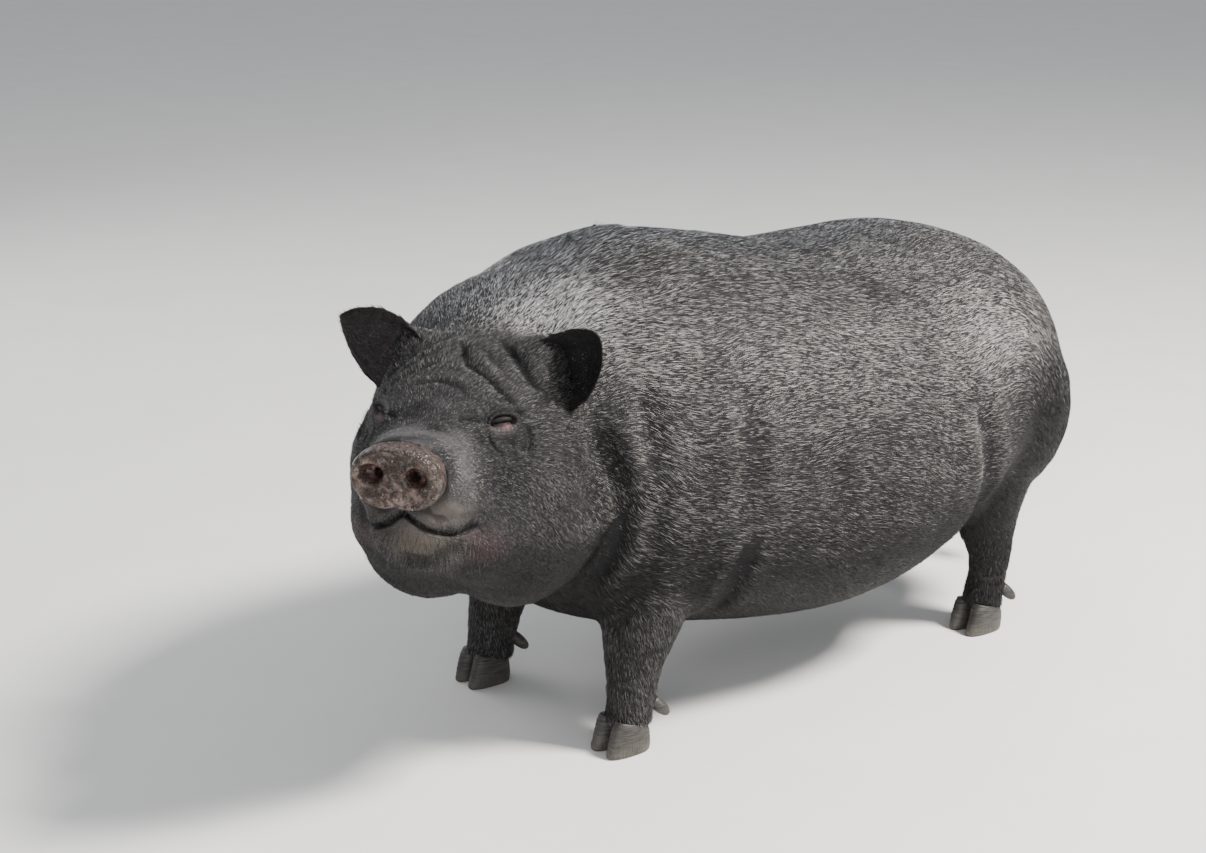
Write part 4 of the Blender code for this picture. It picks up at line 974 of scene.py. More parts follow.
def add_lids_and_ears(item):
    """Open the skin round the eyes, set the lids in and add the ears.

    Gives for each vertex the lids' share out, upper and side, then the ear's side and its cup.
    """
    shape = opened(item.data)
    shape.faces.ensure_lookup_table()
    centres = np.array([face.calc_center_median() for face in shape.faces])
    tree = BVHTree.FromBMesh(shape)
    gone = np.zeros(len(centres), dtype=bool)
    grafts = []
    for _, side in SIDES:
        gone |= (lid_reach(centres, side) < LID_CUT)
        patch, share, upper, across = lid_patch(side, tree)
        zero = np.zeros(len(share))
        grafts.append((patch, (share, upper, across), (zero, zero)))
    for _, side in SIDES:
        ear, cup = ear_shape(side, tree)
        flat = np.full(len(cup), 9.0)
        grafts.append((ear, (flat, flat * 0, flat * 0), (flat * 0 + side, cup)))
    bmesh.ops.delete(shape, geom=[shape.faces[k] for k in np.flatnonzero(gone)], context="FACES")
    # a fresh copy, so that the grafts' vertices come after all the others
    closed(shape, item.data)
    shape = opened(item.data)
    plain = np.zeros(len(shape.verts))
    lids = [np.stack((plain + 9.0, plain, plain))]
    cups = [np.stack((plain, plain))]
    for mesh, lid, cup in grafts:
        shape.from_mesh(mesh)
        lids.append(np.stack(lid))
        cups.append(np.stack(cup))
        bpy.data.meshes.remove(mesh)
    closed(shape, item.data)
    return np.concatenate(lids, axis=1), np.concatenate(cups, axis=1)


def hide_finish():
    """Skin: painted colour, fine creases, a lie of tiny hairs in the relief, matte with some sheen."""
    finish = Finish("pig_hide")
    base = finish.attribute("pelt")
    streak = finish.noise(1.0, (620.0, 130.0, 620.0), 2.0)
    cloud = finish.noise(22.0, detail=4.0)
    dark = finish.mix(base, (0.006, 0.006, 0.007), 0.50 * (1.0 - cloud))
    lit = finish.mix(dark, (0.070, 0.068, 0.070), streak.above(0.62, 0.08) * 0.25)
    creases = finish.cells(330.0, (1.0, 0.7, 1.0), "DISTANCE_TO_EDGE")
    lumps = finish.noise(160.0, detail=4.0)
    relief = creases.above(0.06, 0.06) * 0.5 + lumps * 0.6 + streak * 0.7
    return finish.done(Base_Color=lit, Roughness=0.66 - streak * 0.20, Specular_IOR_Level=0.14,
                       Normal=finish.bump(relief, 0.6, 0.0012))


# The coat

# Coat by region: share of density, length, half width, lift at the root, tip height above the skin
COAT = {
    "body": (1.00, 0.0088, 0.00017, 0.10, 0.0008),
    "neck": (1.10, 0.0092, 0.00018, 0.12, 0.0010),
    "head": (1.50, 0.0062, 0.00014, 0.13, 0.0006),
    "face": (1.90, 0.0040, 0.00012, 0.13, 0.0004),
    "ears": (2.20, 0.0045, 0.00014, 0.08, 0.0003),
    "legs": (1.30, 0.0075, 0.00018, 0.12, 0.0007),
    "tail": (1.60, 0.0100, 0.00022, 0.14, 0.0010),
}
# Shape of a tuft: how far its tip bends aside, and the half width of its patch in the unwrap
TUFT_BEND = 0.12
TUFT_PATCH = 0.0014
# The coat's whorl over each hip: middle in the body's own axes, reach
WHORL = (0.19, 0.19, 0.37)
WHORL_REACH = 0.10
# Number of straight hairs in the undercoat as a share of all tufts
STRAIGHT_SHARE = 0.62
# Sides of the muzzle painted paler as a sheen of light, in head axes: middle and reach
MUZZLE_SHEEN_MIDDLE = (0.044, 0.148, 0.020)
MUZZLE_SHEEN_REACH = (0.028, 0.030, 0.028)
# A tuft is black, grey, or bright as a painted glint of light, by its shine: the two levels, then the tones of
# black and grey
SHINE_LEVELS = (0.42, 0.72)
SHINE_TONES = (0.005, 0.055)
# Bright tone of the painted glints on the body, and how much less on the face and on the legs
BRIGHT = 0.350
BRIGHT_FACE = 0.130
BRIGHT_LEGS = 0.170
# Crest bristles: share left of their full length, half width, height of the tip above the skin
CREST_WORN = 0.55
CREST_HALF = 0.00020
CREST_RISE = 0.0010
# Long bristles of the tail's end: count, half width, how far above the tassel they root
TASSEL_COUNT = 260
TASSEL_HALF = 0.00065
TASSEL_ABOVE = 0.030
# Where the long hairs of the brow root, in head axes: middle and reach
BROW_PLACE = ((0.052, 0.092, 0.044), (0.020, 0.020, 0.012))
# Lashes along each upper lid: count, length, half width
LASH_COUNT = 54
LASH_LENGTH = 0.0072
LASH_HALF = 0.00016
# Places painted with a sheen of light: middle and reach in the body's own axes, strength
SHEEN_PATCHES = (
    ((0.092, -0.285, 0.462), (0.075, 0.060, 0.055), 2.60),
    ((0.150, -0.205, 0.430), (0.060, 0.070, 0.060), 0.65),
    ((0.185, 0.240, 0.385), (0.080, 0.120, 0.075), 1.00),
    ((0.190, 0.020, 0.400), (0.070, 0.220, 0.055), 0.62),
    ((-0.085, -0.262, 0.470), (0.080, 0.065, 0.050), 0.60),
    ((-0.185, 0.240, 0.385), (0.080, 0.130, 0.085), 0.60),
    ((-0.190, 0.020, 0.400), (0.070, 0.220, 0.055), 0.50),
)


def region_shares(points, at):
    """How much of each coat region a place belongs to; shares add to one."""
    head = in_head(points)
    face = at["head"] * step_up(-head[:, 1], 0.060, 0.120)
    shares = {"ears": at["ears"], "tail": at["tail"], "legs": at["legs"]}
    shares["face"] = np.clip(face - at["ears"], 0, 1)
    shares["head"] = np.clip(at["head"] - shares["face"] - at["ears"], 0, 1)
    shares["neck"] = np.clip(at["neck"] * (1 - at["head"]), 0, 1)
    rest = sum(shares.values())
    shares["body"] = np.clip(1.0 - rest, 0, 1)
    total = sum(shares.values())
    return {name: share / total for name, share in shares.items()}


def lie(points, normals, shares, at):
    """Which way the coat lies: back and down the body, down the legs, back from the snout."""
    own = points - np.array(STAND)
    y, z = own[:, 1], own[:, 2]
    side = np.sign(own[:, 0])
    rump = step_up(y, 0.18, 0.44)
    low = step_up(-z, -0.22, -0.10)
    way = np.zeros_like(points)
    way[:, 1] = 1.0 - 0.80 * rump
    way[:, 2] = -0.18 - 0.95 * rump - 0.25 * low * (1 - rump)
    way[:, 0] = 0.25 * side * rump * step_up(z, 0.38, 0.47)
    top = step_up(normals[:, 2], 0.75, 0.95)
    way[:, 2] *= (1.0 - top)
    # a whorl over the hip
    for s in (1, -1):
        gap = own - np.array([WHORL[0] * s, *WHORL[1:]])
        turn = bell(np.linalg.norm(gap, axis=1), 0.0, WHORL_REACH) * (side == s)
        way[:, 2] += 0.9 * turn * np.clip(gap[:, 1] / 0.08, -1, 1)
    out = way * shares["body"][:, None]
    out += np.array([0.0, 1.0, -0.45]) * shares["neck"][:, None]
    out += np.array([0.0, 0.18, -1.0]) * shares["legs"][:, None]
    out += np.array([0.0, 0.05, -1.0]) * shares["tail"][:, None]
    head = in_head(points)
    own_way = np.stack((head[:, 0] * 9.0, np.full(len(head), 1.0), 0.55 * step_up(head[:, 2], -0.01, 0.05)
                        - 0.75 * step_up(-head[:, 2], -0.01, 0.06)), 1)
    out += turned(HEAD, own_way) * (shares["head"] + shares["face"])[:, None]
    for s in (1, -1):
        lean = turned(HEAD, np.array([ear_axes(s)[0]]))[0]
        mine = shares["ears"] * ((at["ear_left"] > 0.25) == (s == 1))
        out += lean * (mine * 1.5)[:, None]
    wander = 0.20 * ripple(points, 22.0, SEED + 1) + 0.12 * ripple(points, 90.0, SEED + 2)
    across = np.cross(normals, out)
    out = out + across * wander[:, None]
    out -= normals * (out * normals).sum(1)[:, None]
    return unit(out)


def sample_skin(item, density, count, seed):
    """Random places on the skin: point, normal and every painted value there."""
    mesh = item.data
    points, normals, tris = points_of(mesh), normals_of(mesh), triangles_of(mesh)
    a, b, c = (points[tris[:, k]] for k in range(3))
    area = np.linalg.norm(np.cross(b - a, c - a), axis=1) / 2
    weight = area * density[tris].mean(1)
    dice = np.random.default_rng(seed)
    edge = np.cumsum(weight)
    pick = np.searchsorted(edge, dice.random(count) * edge[-1])
    pick = np.minimum(pick, len(tris) - 1)
    r, s = dice.random(count), dice.random(count)
    flip = r + s > 1
    r, s = np.where(flip, 1 - r, r), np.where(flip, 1 - s, s)
    shares = np.stack((1 - r - s, r, s), 1)
    chosen = tris[pick]

    def blend(values):
        return (values[chosen] * (shares[..., None] if values.ndim > 1 else shares)).sum(1)

    return blend(points), unit(blend(normals)), blend, dice


def read_values(mesh, name):
    """A painted single number of the skin."""
    return fetch(mesh.attributes[name].data, "value").astype(np.float64)


def read_colours(mesh, name):
    """A painted colour of the skin."""
    return fetch(mesh.attributes[name].data, "color", 4)[:, :3].astype(np.float64)


def tufts(name, roots, normals, way, length, half, lift, rise, tone, dice, twist=0.7, bent=True):
    """One mesh of thin, tapered tufts rooted in the skin: bent ones with a middle row, or straight ones."""
    count = len(roots)
    across = np.cross(way, normals)
    angle = dice.uniform(-twist, twist, count)[:, None]
    wide = across * np.cos(angle) + normals * np.sin(angle)
    bend = across * (dice.uniform(-TUFT_BEND, TUFT_BEND, count) * length)[:, None]
    base = roots - normals * 0.0006
    middle = roots + way * (0.50 * length)[:, None] + normals * (lift * 0.5 * length + rise * 0.35)[:, None]
    middle = middle + bend * 0.3
    tip = roots + way * length[:, None] + normals * (rise + lift * 0.35 * length)[:, None] + bend
    h = half[:, None]
    if bent:
        rows = (base - wide * h, base + wide * h, middle - wide * h * 0.85, middle + wide * h * 0.85, tip)
        fade = np.array([0.55, 0.55, 1.0, 1.0, 1.35])
        corner = np.array([0, 1, 3, 2, 2, 3, 4])
        faces = np.array([0, 4])
        offsets = np.array([[-1, -1], [1, -1], [-0.7, 0.2], [0.7, 0.2], [0, 1]]) * TUFT_PATCH
    else:
        rows = (base - wide * h, base + wide * h, tip)
        fade = np.array([0.75, 0.75, 1.30])
        corner = np.array([0, 1, 2])
        faces = np.array([0])
        offsets = np.array([[-1, -1], [1, -1], [0, 1]]) * TUFT_PATCH
    points = np.stack(rows, 1).reshape(-1, 3)
    loops = (np.arange(count)[:, None] * len(rows) + corner).ravel()
    starts = (np.arange(count)[:, None] * len(corner) + faces).ravel()
    mesh = mesh_from_arrays(name, points, loops, starts)
    paint(mesh, "pelt", np.clip((tone[:, None, :] * fade[None, :, None]).reshape(-1, 3), 0, 1))
    full = (atlas(roots, normals)[:, None, :] + offsets[corner][None]).reshape(-1, 2)
    layer = mesh.uv_layers.new(name="OFBake")
    layer.data.foreach_set("uv", full.astype(np.float32).ravel())
    return new_object(name, mesh)


def coat_tone(pelt_colour, at, points, normals, dice):
    """Colour of each tuft: mostly black, some grey, some bright as painted glints of light, with painted sheen and
    painted shade by place; it follows the paler hide.
    """
    count = len(points)
    own = points - np.array(STAND)
    head = in_head(points)
    front = at["head"] * step_up(-head[:, 1], -0.035, 0.020)
    # painted sheen where light glances off the coat
    painted_sheen = np.zeros(count)
    for middle, reach, strength in SHEEN_PATCHES:
        painted_sheen = np.maximum(painted_sheen, near_place(own, middle, reach) * strength * (1.0 - front))
    # painted sheen on the sides of the muzzle
    muzzle = near_place(np.abs(head), MUZZLE_SHEEN_MIDDLE, MUZZLE_SHEEN_REACH) * front
    painted_sheen = np.maximum(painted_sheen, 0.8 * muzzle)
    # painted shade: the coat is painted darker on the underside, low on the body, low on the rump and under the
    # jowl
    under = step_up(-normals[:, 2], 0.05, 0.70)
    low = step_up(-own[:, 2], -0.32, -0.13) * (1.0 - at["legs"])
    rump_shade = step_up(own[:, 1], 0.210, 0.330) * step_up(-own[:, 2], -0.370, -0.290)
    jowl_shade = at["head"] * step_up(-head[:, 2], 0.075, 0.115) * step_up(head[:, 1], -0.120, -0.080)
    painted_shade = np.clip(0.80 * under + 0.50 * low + 0.85 * rump_shade + 0.90 * jowl_shade, 0, 1)
    # painted reflection of the sky: tufts along the top of the back are tinted bluish
    sky_reflection = bell(own[:, 0], 0.0, 0.060) * step_up(normals[:, 2], 0.3, 0.8) * (1.0 - front)
    along = points * (1.0 - front)[:, None] + head * front[:, None]
    fine = ripple(along * np.array([1.0, 0.18, 0.8]), 2700.0, SEED + 33, 11)
    clump = ripple(along * np.array([1.0, 0.25, 1.0]), 760.0, SEED + 34, 9)
    broad = ripple(points, 110.0, SEED + 35)
    # painted glints: which tufts are painted bright, more in the painted sheen, fewer in the painted shade and on
    # the face
    shine = dice.random(count) + 0.07 * fine + 0.03 * clump + 0.06 * broad
    shine += 0.30 * painted_sheen - 0.34 * painted_shade - 0.06 * front * (1.0 - muzzle)
    bright = BRIGHT - BRIGHT_FACE * front - BRIGHT_LEGS * at["legs"] * (1.0 - muzzle)
    bright = bright * (1.0 + 0.9 * painted_sheen)
    grey = np.where(shine < SHINE_LEVELS[1], SHINE_TONES[1], bright)
    grey = np.where(shine < SHINE_LEVELS[0], SHINE_TONES[0], grey)
    # tufts painted darker where the painted shade lies
    grey = grey * dice.uniform(0.6, 1.4, count) * (1.0 - 0.45 * painted_shade)
    warm = np.array([1.04, 1.0, 0.955]) + sky_reflection[:, None] * np.array([-0.07, 0.0, 0.10])
    tone = grey[:, None] * warm
    pale = step_up(pelt_colour.mean(1), 0.040, 0.10)
    tone += (pelt_colour * 1.1 - tone) * (0.65 * pale)[:, None]
    return tone


def coat_pieces(settings):
    """The short coat over the whole skin, split into pieces by place."""
    skin = bpy.data.objects["skin"]
    mesh = skin.data
    points = points_of(mesh)
    at = {name: read_values(mesh, "at_" + name) for name in SKIN_MARKS}
    shares = region_shares(points, at)
    density = sum(COAT[name][0] * share for name, share in shares.items())
    density *= 1.0 - at["cup"] * (0.10 + 0.60 * at["ear_left"])
    head = in_head(points)
    density *= 1.0 - at["head"] * step_up(-head[:, 1], 0.155, 0.172) * 0.9
    gap, _ = distance_to_path(points, mouth_run())
    density *= step_up(gap, 0.001, 0.006)
    for _, side in SIDES:
        density *= step_up(lid_reach(points, side), 0.75, 1.45)
    pad = (np.abs(head[:, 0]) - 0.036) ** 2 / 0.018 ** 2 + (head[:, 1] + 0.160) ** 2 / 0.024 ** 2
    pad = np.exp(-pad - (head[:, 2] + 0.056) ** 2 / 0.011 ** 2)
    density *= 1.0 - 0.75 * pad * at["head"]
    density *= step_up(points[:, 2], 0.024, 0.030)
    colours = read_colours(mesh, "pelt")
    count = settings.tufts
    roots, facing, blend, dice = sample_skin(skin, density, count, SEED + 3)
    near = {name: blend(value) for name, value in at.items()}
    share = region_shares(roots, near)
    sizes = [sum(COAT[name][k] * share[name] for name in share) for k in range(1, 5)]
    way = lie(roots, facing, share, near)
    scale = 1.0
    length = sizes[0] * dice.uniform(0.70, 1.25, count) * settings.length
    half = sizes[1] * dice.uniform(0.75, 1.25, count) * scale
    lift = sizes[2] * dice.uniform(0.5, 1.4, count)
    rise = sizes[3] * dice.uniform(0.6, 1.3, count)
    tone = coat_tone(blend(colours), near, roots, facing, dice)
    half *= np.where(tone.mean(1) > 0.09, 0.72, 1.15)
    own = roots - np.array(STAND)
    where = np.full(count, "flank_left", dtype="<U12")
    where[own[:, 0] < 0] = "flank_right"
    where[facing[:, 2] > 0.72] = "back"
    where[facing[:, 2] < -0.55] = "belly"
    where[own[:, 1] > 0.30] = "rump"
    where[near["neck"] > 0.5] = "neck"
    where[near["legs"] > 0.5] = "legs"
    where[near["head"] > 0.5] = "head_left"
    inside = in_head(roots)
    where[(near["head"] > 0.5) & (inside[:, 0] < 0)] = "head_right"
    where[near["ears"] > 0.5] = "ears"
    where[near["tail"] > 0.5] = "tail"
    finish = bristle_finish("pig_coat", 0.42)
    straight = dice.random(count) < STRAIGHT_SHARE
    half *= np.where(straight, 1.10, 1.0)
    for place in sorted(set(where)):
        for kind, chosen in (("coat_", ~straight), ("undercoat_", straight)):
            mine = (where == place) & chosen
            piece = tufts(kind + place, roots[mine], facing[mine], way[mine], length[mine], half[mine],
                          lift[mine], rise[mine], tone[mine], dice, bent=kind == "coat_")
            wear(piece, finish)



def crest_piece(settings):
    """Longer black bristles along the nape, withers and back, standing a little."""
    skin = bpy.data.objects["skin"]
    points, normals = points_of(skin.data), normals_of(skin.data)
    y, bend = crest_line(points)
    across = bell(points[:, 0], bend, 0.045)
    density = across * step_up(normals[:, 2], 0.3, 0.7) * step_up(y, -0.330, -0.240)
    density *= 1.0 - 0.85 * step_up(y, -0.16, 0.02)
    density *= step_up(-y, -0.43, -0.36)
    count = settings.crest_bristles
    roots, facing, _, dice = sample_skin(skin, density, count, SEED + 9)
    own_y = roots[:, 1] - STAND.y
    tall = 1.0 - 0.55 * step_up(own_y, -0.05, 0.25)
    way = np.stack((dice.normal(0, 0.16, count), np.ones(count), np.zeros(count)), 1)
    way -= facing * (way * facing).sum(1)[:, None]
    way = unit(way)
    length = settings.crest_length * CREST_WORN * tall * dice.uniform(0.7, 1.15, count)
    half = np.full(count, CREST_HALF) * dice.uniform(0.8, 1.3, count)
    lift = dice.uniform(0.01, 0.08, count) * tall
    rise = np.full(count, CREST_RISE)
    # the crest is tinted bluish as a painted reflection of the sky, and a share of bristles is painted bright as
    # glints of light
    shine = dice.random(count)
    grey = np.where(shine < 0.55, 0.009, np.where(shine < 0.80, 0.060, 0.250))
    tone = grey[:, None] * np.array([0.94, 0.98, 1.10])
    piece = tufts("crest_bristles", roots, facing, way, length, half, lift, rise, tone, dice)
    wear(piece, bristle_finish("pig_crest", 0.36))
    return piece


def tassel_piece():
    """Long bristles that hang from the tail's end."""
    low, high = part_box("tail_tassel")
    count = TASSEL_COUNT
    skin = bpy.data.objects["skin"]
    above = high.z + TASSEL_ABOVE - points_of(skin.data)[:, 2]
    density = read_values(skin.data, "at_tail") * step_up(above, 0.0, 0.020)
    roots, facing, _, dice = sample_skin(skin, density, count, SEED + 12)
    way = np.stack((dice.normal(0, 0.05, count), dice.normal(-0.04, 0.05, count), -np.ones(count)), 1)
    way = unit(way + facing * dice.uniform(0.0, 0.10, count)[:, None])
    room = roots[:, 2] - low.z
    length = room * dice.uniform(0.65, 1.0, count)
    half = np.full(count, TASSEL_HALF)
    tone = np.where(dice.random(count) < 0.7, 0.012, 0.045)[:, None] * np.ones(3)
    piece = tufts("tail_bristles", roots, facing, way, length, half, np.full(count, 0.02), np.zeros(count),
                  tone, dice)
    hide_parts("tail_tassel")
    wear(piece, bristle_finish("pig_tail_end", 0.40))
    return piece


def face_piece():
    """Lashes, long chin and lip hairs, and the fringe that hangs over the line of the mouth."""
    skin = bpy.data.objects["skin"]
    head = in_head(points_of(skin.data))
    on_head = read_values(skin.data, "at_head") * (1.0 - read_values(skin.data, "at_ears"))
    gap, _ = distance_to_path(points_of(skin.data), mouth_run())
    mouth_z = np.interp(np.abs(head[:, 0]), [row[0] for row in MOUTH_LINE], [row[2] for row in MOUTH_LINE])
    ahead = step_up(-head[:, 1], 0.105, 0.130) * on_head
    fringe = bell(gap, 0.0055, 0.0028) * (head[:, 2] > mouth_z) * ahead
    below = bell(head[:, 2], -0.100, 0.026) * (head[:, 2] < mouth_z - 0.004) * ahead
    brow = near_place(np.abs(head), *BROW_PLACE) * on_head
    # where, count, length, half width, aim in head axes, lift
    sets = ((fringe, 900, 0.0075, 0.00016, (0.0, -0.25, -1.0), 0.10),
            (below, 420, 0.0160, 0.00013, (0.0, 0.25, -1.0), 0.45),
            (brow, 110, 0.0150, 0.00013, (0.0, -0.1, 0.9), 0.55))
    roots, facing, ways, lengths, halves, lifts = [], [], [], [], [], []
    for index, (density, count, length, half, aim, lift) in enumerate(sets):
        spot, normal, _, dice = sample_skin(skin, density, count, SEED + 40 + index)
        way = turned(HEAD, np.array([aim]) + dice.normal(0, 0.16, (count, 3)))
        way = unit(way - normal * (way * normal).sum(1)[:, None])
        roots.append(spot)
        facing.append(normal)
        ways.append(way)
        lengths.append(length * dice.uniform(0.6, 1.2, count))
        halves.append(np.full(count, half))
        lifts.append(lift * dice.uniform(0.5, 1.3, count))
    for _, side in SIDES:
        count = LASH_COUNT
        axes = eye_axes(side)
        dice = np.random.default_rng(SEED + 50 + side)
        around = np.linspace(math.radians(12), math.radians(168), count)
        along, rise = np.cos(around) * SLIT_HALF_LENGTH * 1.02, np.sin(around) * SLIT_UP + 0.0008
        u = along * math.cos(SLIT_TURN) + rise * math.sin(SLIT_TURN)
        w = -along * math.sin(SLIT_TURN) + rise * math.cos(SLIT_TURN)
        deep = on_ball(u, w, side) - 0.0014
        roots.append(moved(axes, np.stack((u * side, deep, w), 1)))
        way = np.stack((along * side * 40.0, np.full(count, -0.75), np.full(count, 0.10)), 1)
        way = unit(turned(axes, way + dice.normal(0, 0.10, (count, 3))))
        ways.append(way)
        up = turned(axes, np.tile([0.0, 0.0, 1.0], (count, 1)))
        facing.append(unit(up - way * (up * way).sum(1)[:, None]))
        lengths.append(LASH_LENGTH * dice.uniform(0.7, 1.15, count))
        halves.append(np.full(count, LASH_HALF))
        lifts.append(np.full(count, 0.10))
    roots, facing, ways = np.vstack(roots), np.vstack(facing), np.vstack(ways)
    lengths, halves, lifts = np.concatenate(lengths), np.concatenate(halves), np.concatenate(lifts)
    dice = np.random.default_rng(SEED + 60)
    tone = np.where(dice.random(len(roots)) < 0.80, 0.010, 0.110)[:, None] * np.ones(3)
    piece = tufts("face_bristles", roots, facing, ways, lengths, halves, lifts, np.full(len(roots), 0.0004),
                  tone, dice)
    wear(piece, bristle_finish("pig_face_hair", 0.38))
    return piece


def bristle_finish(name, roughness):
    """Bristles: painted black to grey, some bright as painted glints of light, glossy along their length."""
    finish = Finish(name)
    base = finish.attribute("pelt")
    fleck = finish.noise(900.0, detail=2.0)
    colour = finish.mix(base, (0.002, 0.002, 0.002), 0.35 * fleck)
    return finish.done(Base_Color=colour, Roughness=roughness + 0.12 * fleck, Specular_IOR_Level=0.12)


# Snout disc

# Rings: distance forward of the back face, share of the full outline
SNOUT_ROWS = ((-0.012, 0.930), (-0.004, 0.965), (0.0020, 0.992), (0.0080, 1.004), (0.0140, 0.992),
              (0.0182, 0.955), (0.0200, 0.890), (0.0190, 0.800), (0.0180, 0.680), (0.0178, 0.540),
              (0.0180, 0.400), (0.0182, 0.260), (0.0183, 0.130), (0.0184, 0.010))
SNOUT_AROUND = 200
# Powers of the rounded outline, across and up, and the depth of the notch in its lower middle
SNOUT_ROUND = (0.92, 0.88)
SNOUT_NOTCH = 0.0035
# Heights on the face: rim round each nostril, bulge below, ridge between; depths: furrow and trench below
RIM_HEIGHT = 0.0012
BULGE_HEIGHT = 0.0030
RIDGE_HEIGHT = 0.0014
FURROW_DEPTH = 0.0030
TRENCH_DEPTH = 0.0011
# Nostrils: place, half sizes; the deep hole in each is nearer the middle
NOSTRIL = (0.0215, 0.0040)
NOSTRIL_HALF = (0.0114, 0.0094)
NOSTRIL_DEPTH = 0.0070
HOLE = (0.0180, 0.0028)
HOLE_HALF = (0.0052, 0.0058)
HOLE_DEPTH = 0.0090
# Colours of the disc
DISC_RIM = (0.050, 0.034, 0.028)
DISC_FACE = (0.032, 0.018, 0.013)
DISC_PINK = (0.130, 0.072, 0.060)
# Tan of the rim's crest, painted brighter at its top as a highlight
DISC_TAN_AND_HIGHLIGHT = (0.215, 0.170, 0.128)
DISC_PALE = (0.245, 0.175, 0.155)
NOSTRIL_FLOOR = (0.055, 0.018, 0.016)
# Near black painted on the floor of the deep holes, as painted shade
HOLE_SHADE = (0.004, 0.003, 0.003)


def oval_reach(points, place, half, side):
    """Distance from an oval's middle, 1 on its edge."""
    across = (points[:, 0] - place[0] * side) / half[0]
    up = (points[:, 2] - place[1]) / half[1]
    return np.sqrt(across ** 2 + up ** 2)


def build_snout():
    """The moist snout disc: thick rim, dished face, bulge and notch below, two deep nostrils, creases."""
    rows = curve_through(SNOUT_ROWS, 8)
    count = SNOUT_AROUND
    angle = np.arange(count) * 2 * math.pi / count
    rings = []
    for forward, share in rows:
        across = np.sign(np.cos(angle)) * np.abs(np.cos(angle)) ** SNOUT_ROUND[0] * SNOUT_HALF_WIDTH
        up = np.sign(np.sin(angle)) * np.abs(np.sin(angle)) ** SNOUT_ROUND[1] * SNOUT_HALF_HEIGHT
        up = up + SNOUT_NOTCH * bell(angle, 1.5 * math.pi, 0.20)
        rings.append(np.stack((across * share, np.full(count, -forward), up * share), 1))
    points = np.array(rings).reshape(-1, 3)
    front = step_up(-points[:, 1], 0.011, 0.017)
    out = np.sqrt((points[:, 0] / SNOUT_HALF_WIDTH) ** 2 + (points[:, 2] / SNOUT_HALF_HEIGHT) ** 2)
    cup, hole, rim = np.zeros(len(points)), np.zeros(len(points)), np.zeros(len(points))
    for side in (1, -1):
        reach = oval_reach(points, NOSTRIL, NOSTRIL_HALF, side)
        reach = reach + 0.06 * ripple(points, 190.0, SEED + 19)
        cup = np.maximum(cup, step_up(-reach, -1.05, -0.55) * front)
        rim = np.maximum(rim, bell(reach, 1.22, 0.22) * front)
        hole = np.maximum(hole, step_up(-oval_reach(points, HOLE, HOLE_HALF, side), -1.0, -0.45) * front)
    bulge = np.exp(-((points[:, 0] / 0.0125) ** 2 + ((points[:, 2] + 0.0185) / 0.0075) ** 2)) * front
    ridge = np.exp(-((points[:, 0] / 0.0060) ** 2 + ((points[:, 2] - 0.004) / 0.012) ** 2)) * front
    furrow = bell(points[:, 0], 0.0, 0.0030) * step_up(-points[:, 2], 0.019, 0.027) * front
    trench = bell(points[:, 2], -0.0105, 0.0022) * bell(points[:, 0], 0.0, 0.013) * front
    points[:, 1] += NOSTRIL_DEPTH * cup + HOLE_DEPTH * hole - RIM_HEIGHT * rim + FURROW_DEPTH * furrow
    points[:, 1] += -BULGE_HEIGHT * bulge - RIDGE_HEIGHT * ridge + TRENCH_DEPTH * trench
    flat = points * np.array([1.0, 0.0, 1.0])
    dents = 0.00055 * ripple(flat, 170.0, SEED + 20) + 0.00030 * ripple(flat, 430.0, SEED + 21)
    points[:, 1] += dents * front
    back = step_up(points[:, 1], -0.016, -0.006)
    grow = 1.0 + 0.012 * ripple(points, 95.0, SEED + 22) * (1.0 - back) * step_up(out, 0.5, 0.9)
    points[:, 0] *= grow
    points[:, 2] *= grow
    mesh = grid_mesh("snout_disc", moved(SNOUT, points).reshape(len(rings), count, 3))
    full = np.vstack((points, points[:1] * 0, points[-1:]))
    full_flat = full * np.array([1.0, 0.0, 1.0])
    face = np.append(front, (0.0, 1.0)) * step_up(-np.append(out, (1.0, 0.0)), -0.96, -0.84)
    tone = np.tile(np.array(DISC_RIM), (len(full), 1))
    blotch = 0.5 + 0.40 * ripple(full_flat, 150.0, SEED + 24) + 0.35 * ripple(full_flat, 480.0, SEED + 25)
    blotch = np.clip(blotch, 0, 1)
    low = step_up(-full_flat[:, 2], 0.004, 0.018)
    ring = np.append(out, (1.0, 0.0))
    crest = bell(ring, 0.87, 0.035) * np.append(front, (0.0, 1.0))
    # the rim's crest is tan, painted brighter toward its top as a painted highlight
    high = step_up(full_flat[:, 2], -0.006, 0.014)
    for shade, share in ((DISC_FACE, 0.97 * face), (DISC_PINK, 0.55 * face * blotch * blotch),
                         (DISC_TAN_AND_HIGHLIGHT, (0.20 + 0.50 * high) * crest * (0.3 + 0.7 * blotch)),
                         (DISC_PALE, 0.35 * face * low * step_up(blotch, 0.45, 0.85)),
                         (DISC_PALE, 0.60 * np.append(bulge, (0, 0)) * (0.3 + 0.7 * blotch)),
                         (DISC_PALE, 0.40 * np.append(rim, (0, 0)) * blotch),
                         (NOSTRIL_FLOOR, 0.85 * np.append(cup, (0, 0))),
                         (HOLE_SHADE, np.append(hole, (0, 0)))):
        tone += (np.array(shade) - tone) * share[:, None]
    paint(mesh, "pelt", np.clip(tone, 0.002, 1))
    item = new_object("snout_disc", mesh)
    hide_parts("snout")
    wear(item, snout_finish())
    return item


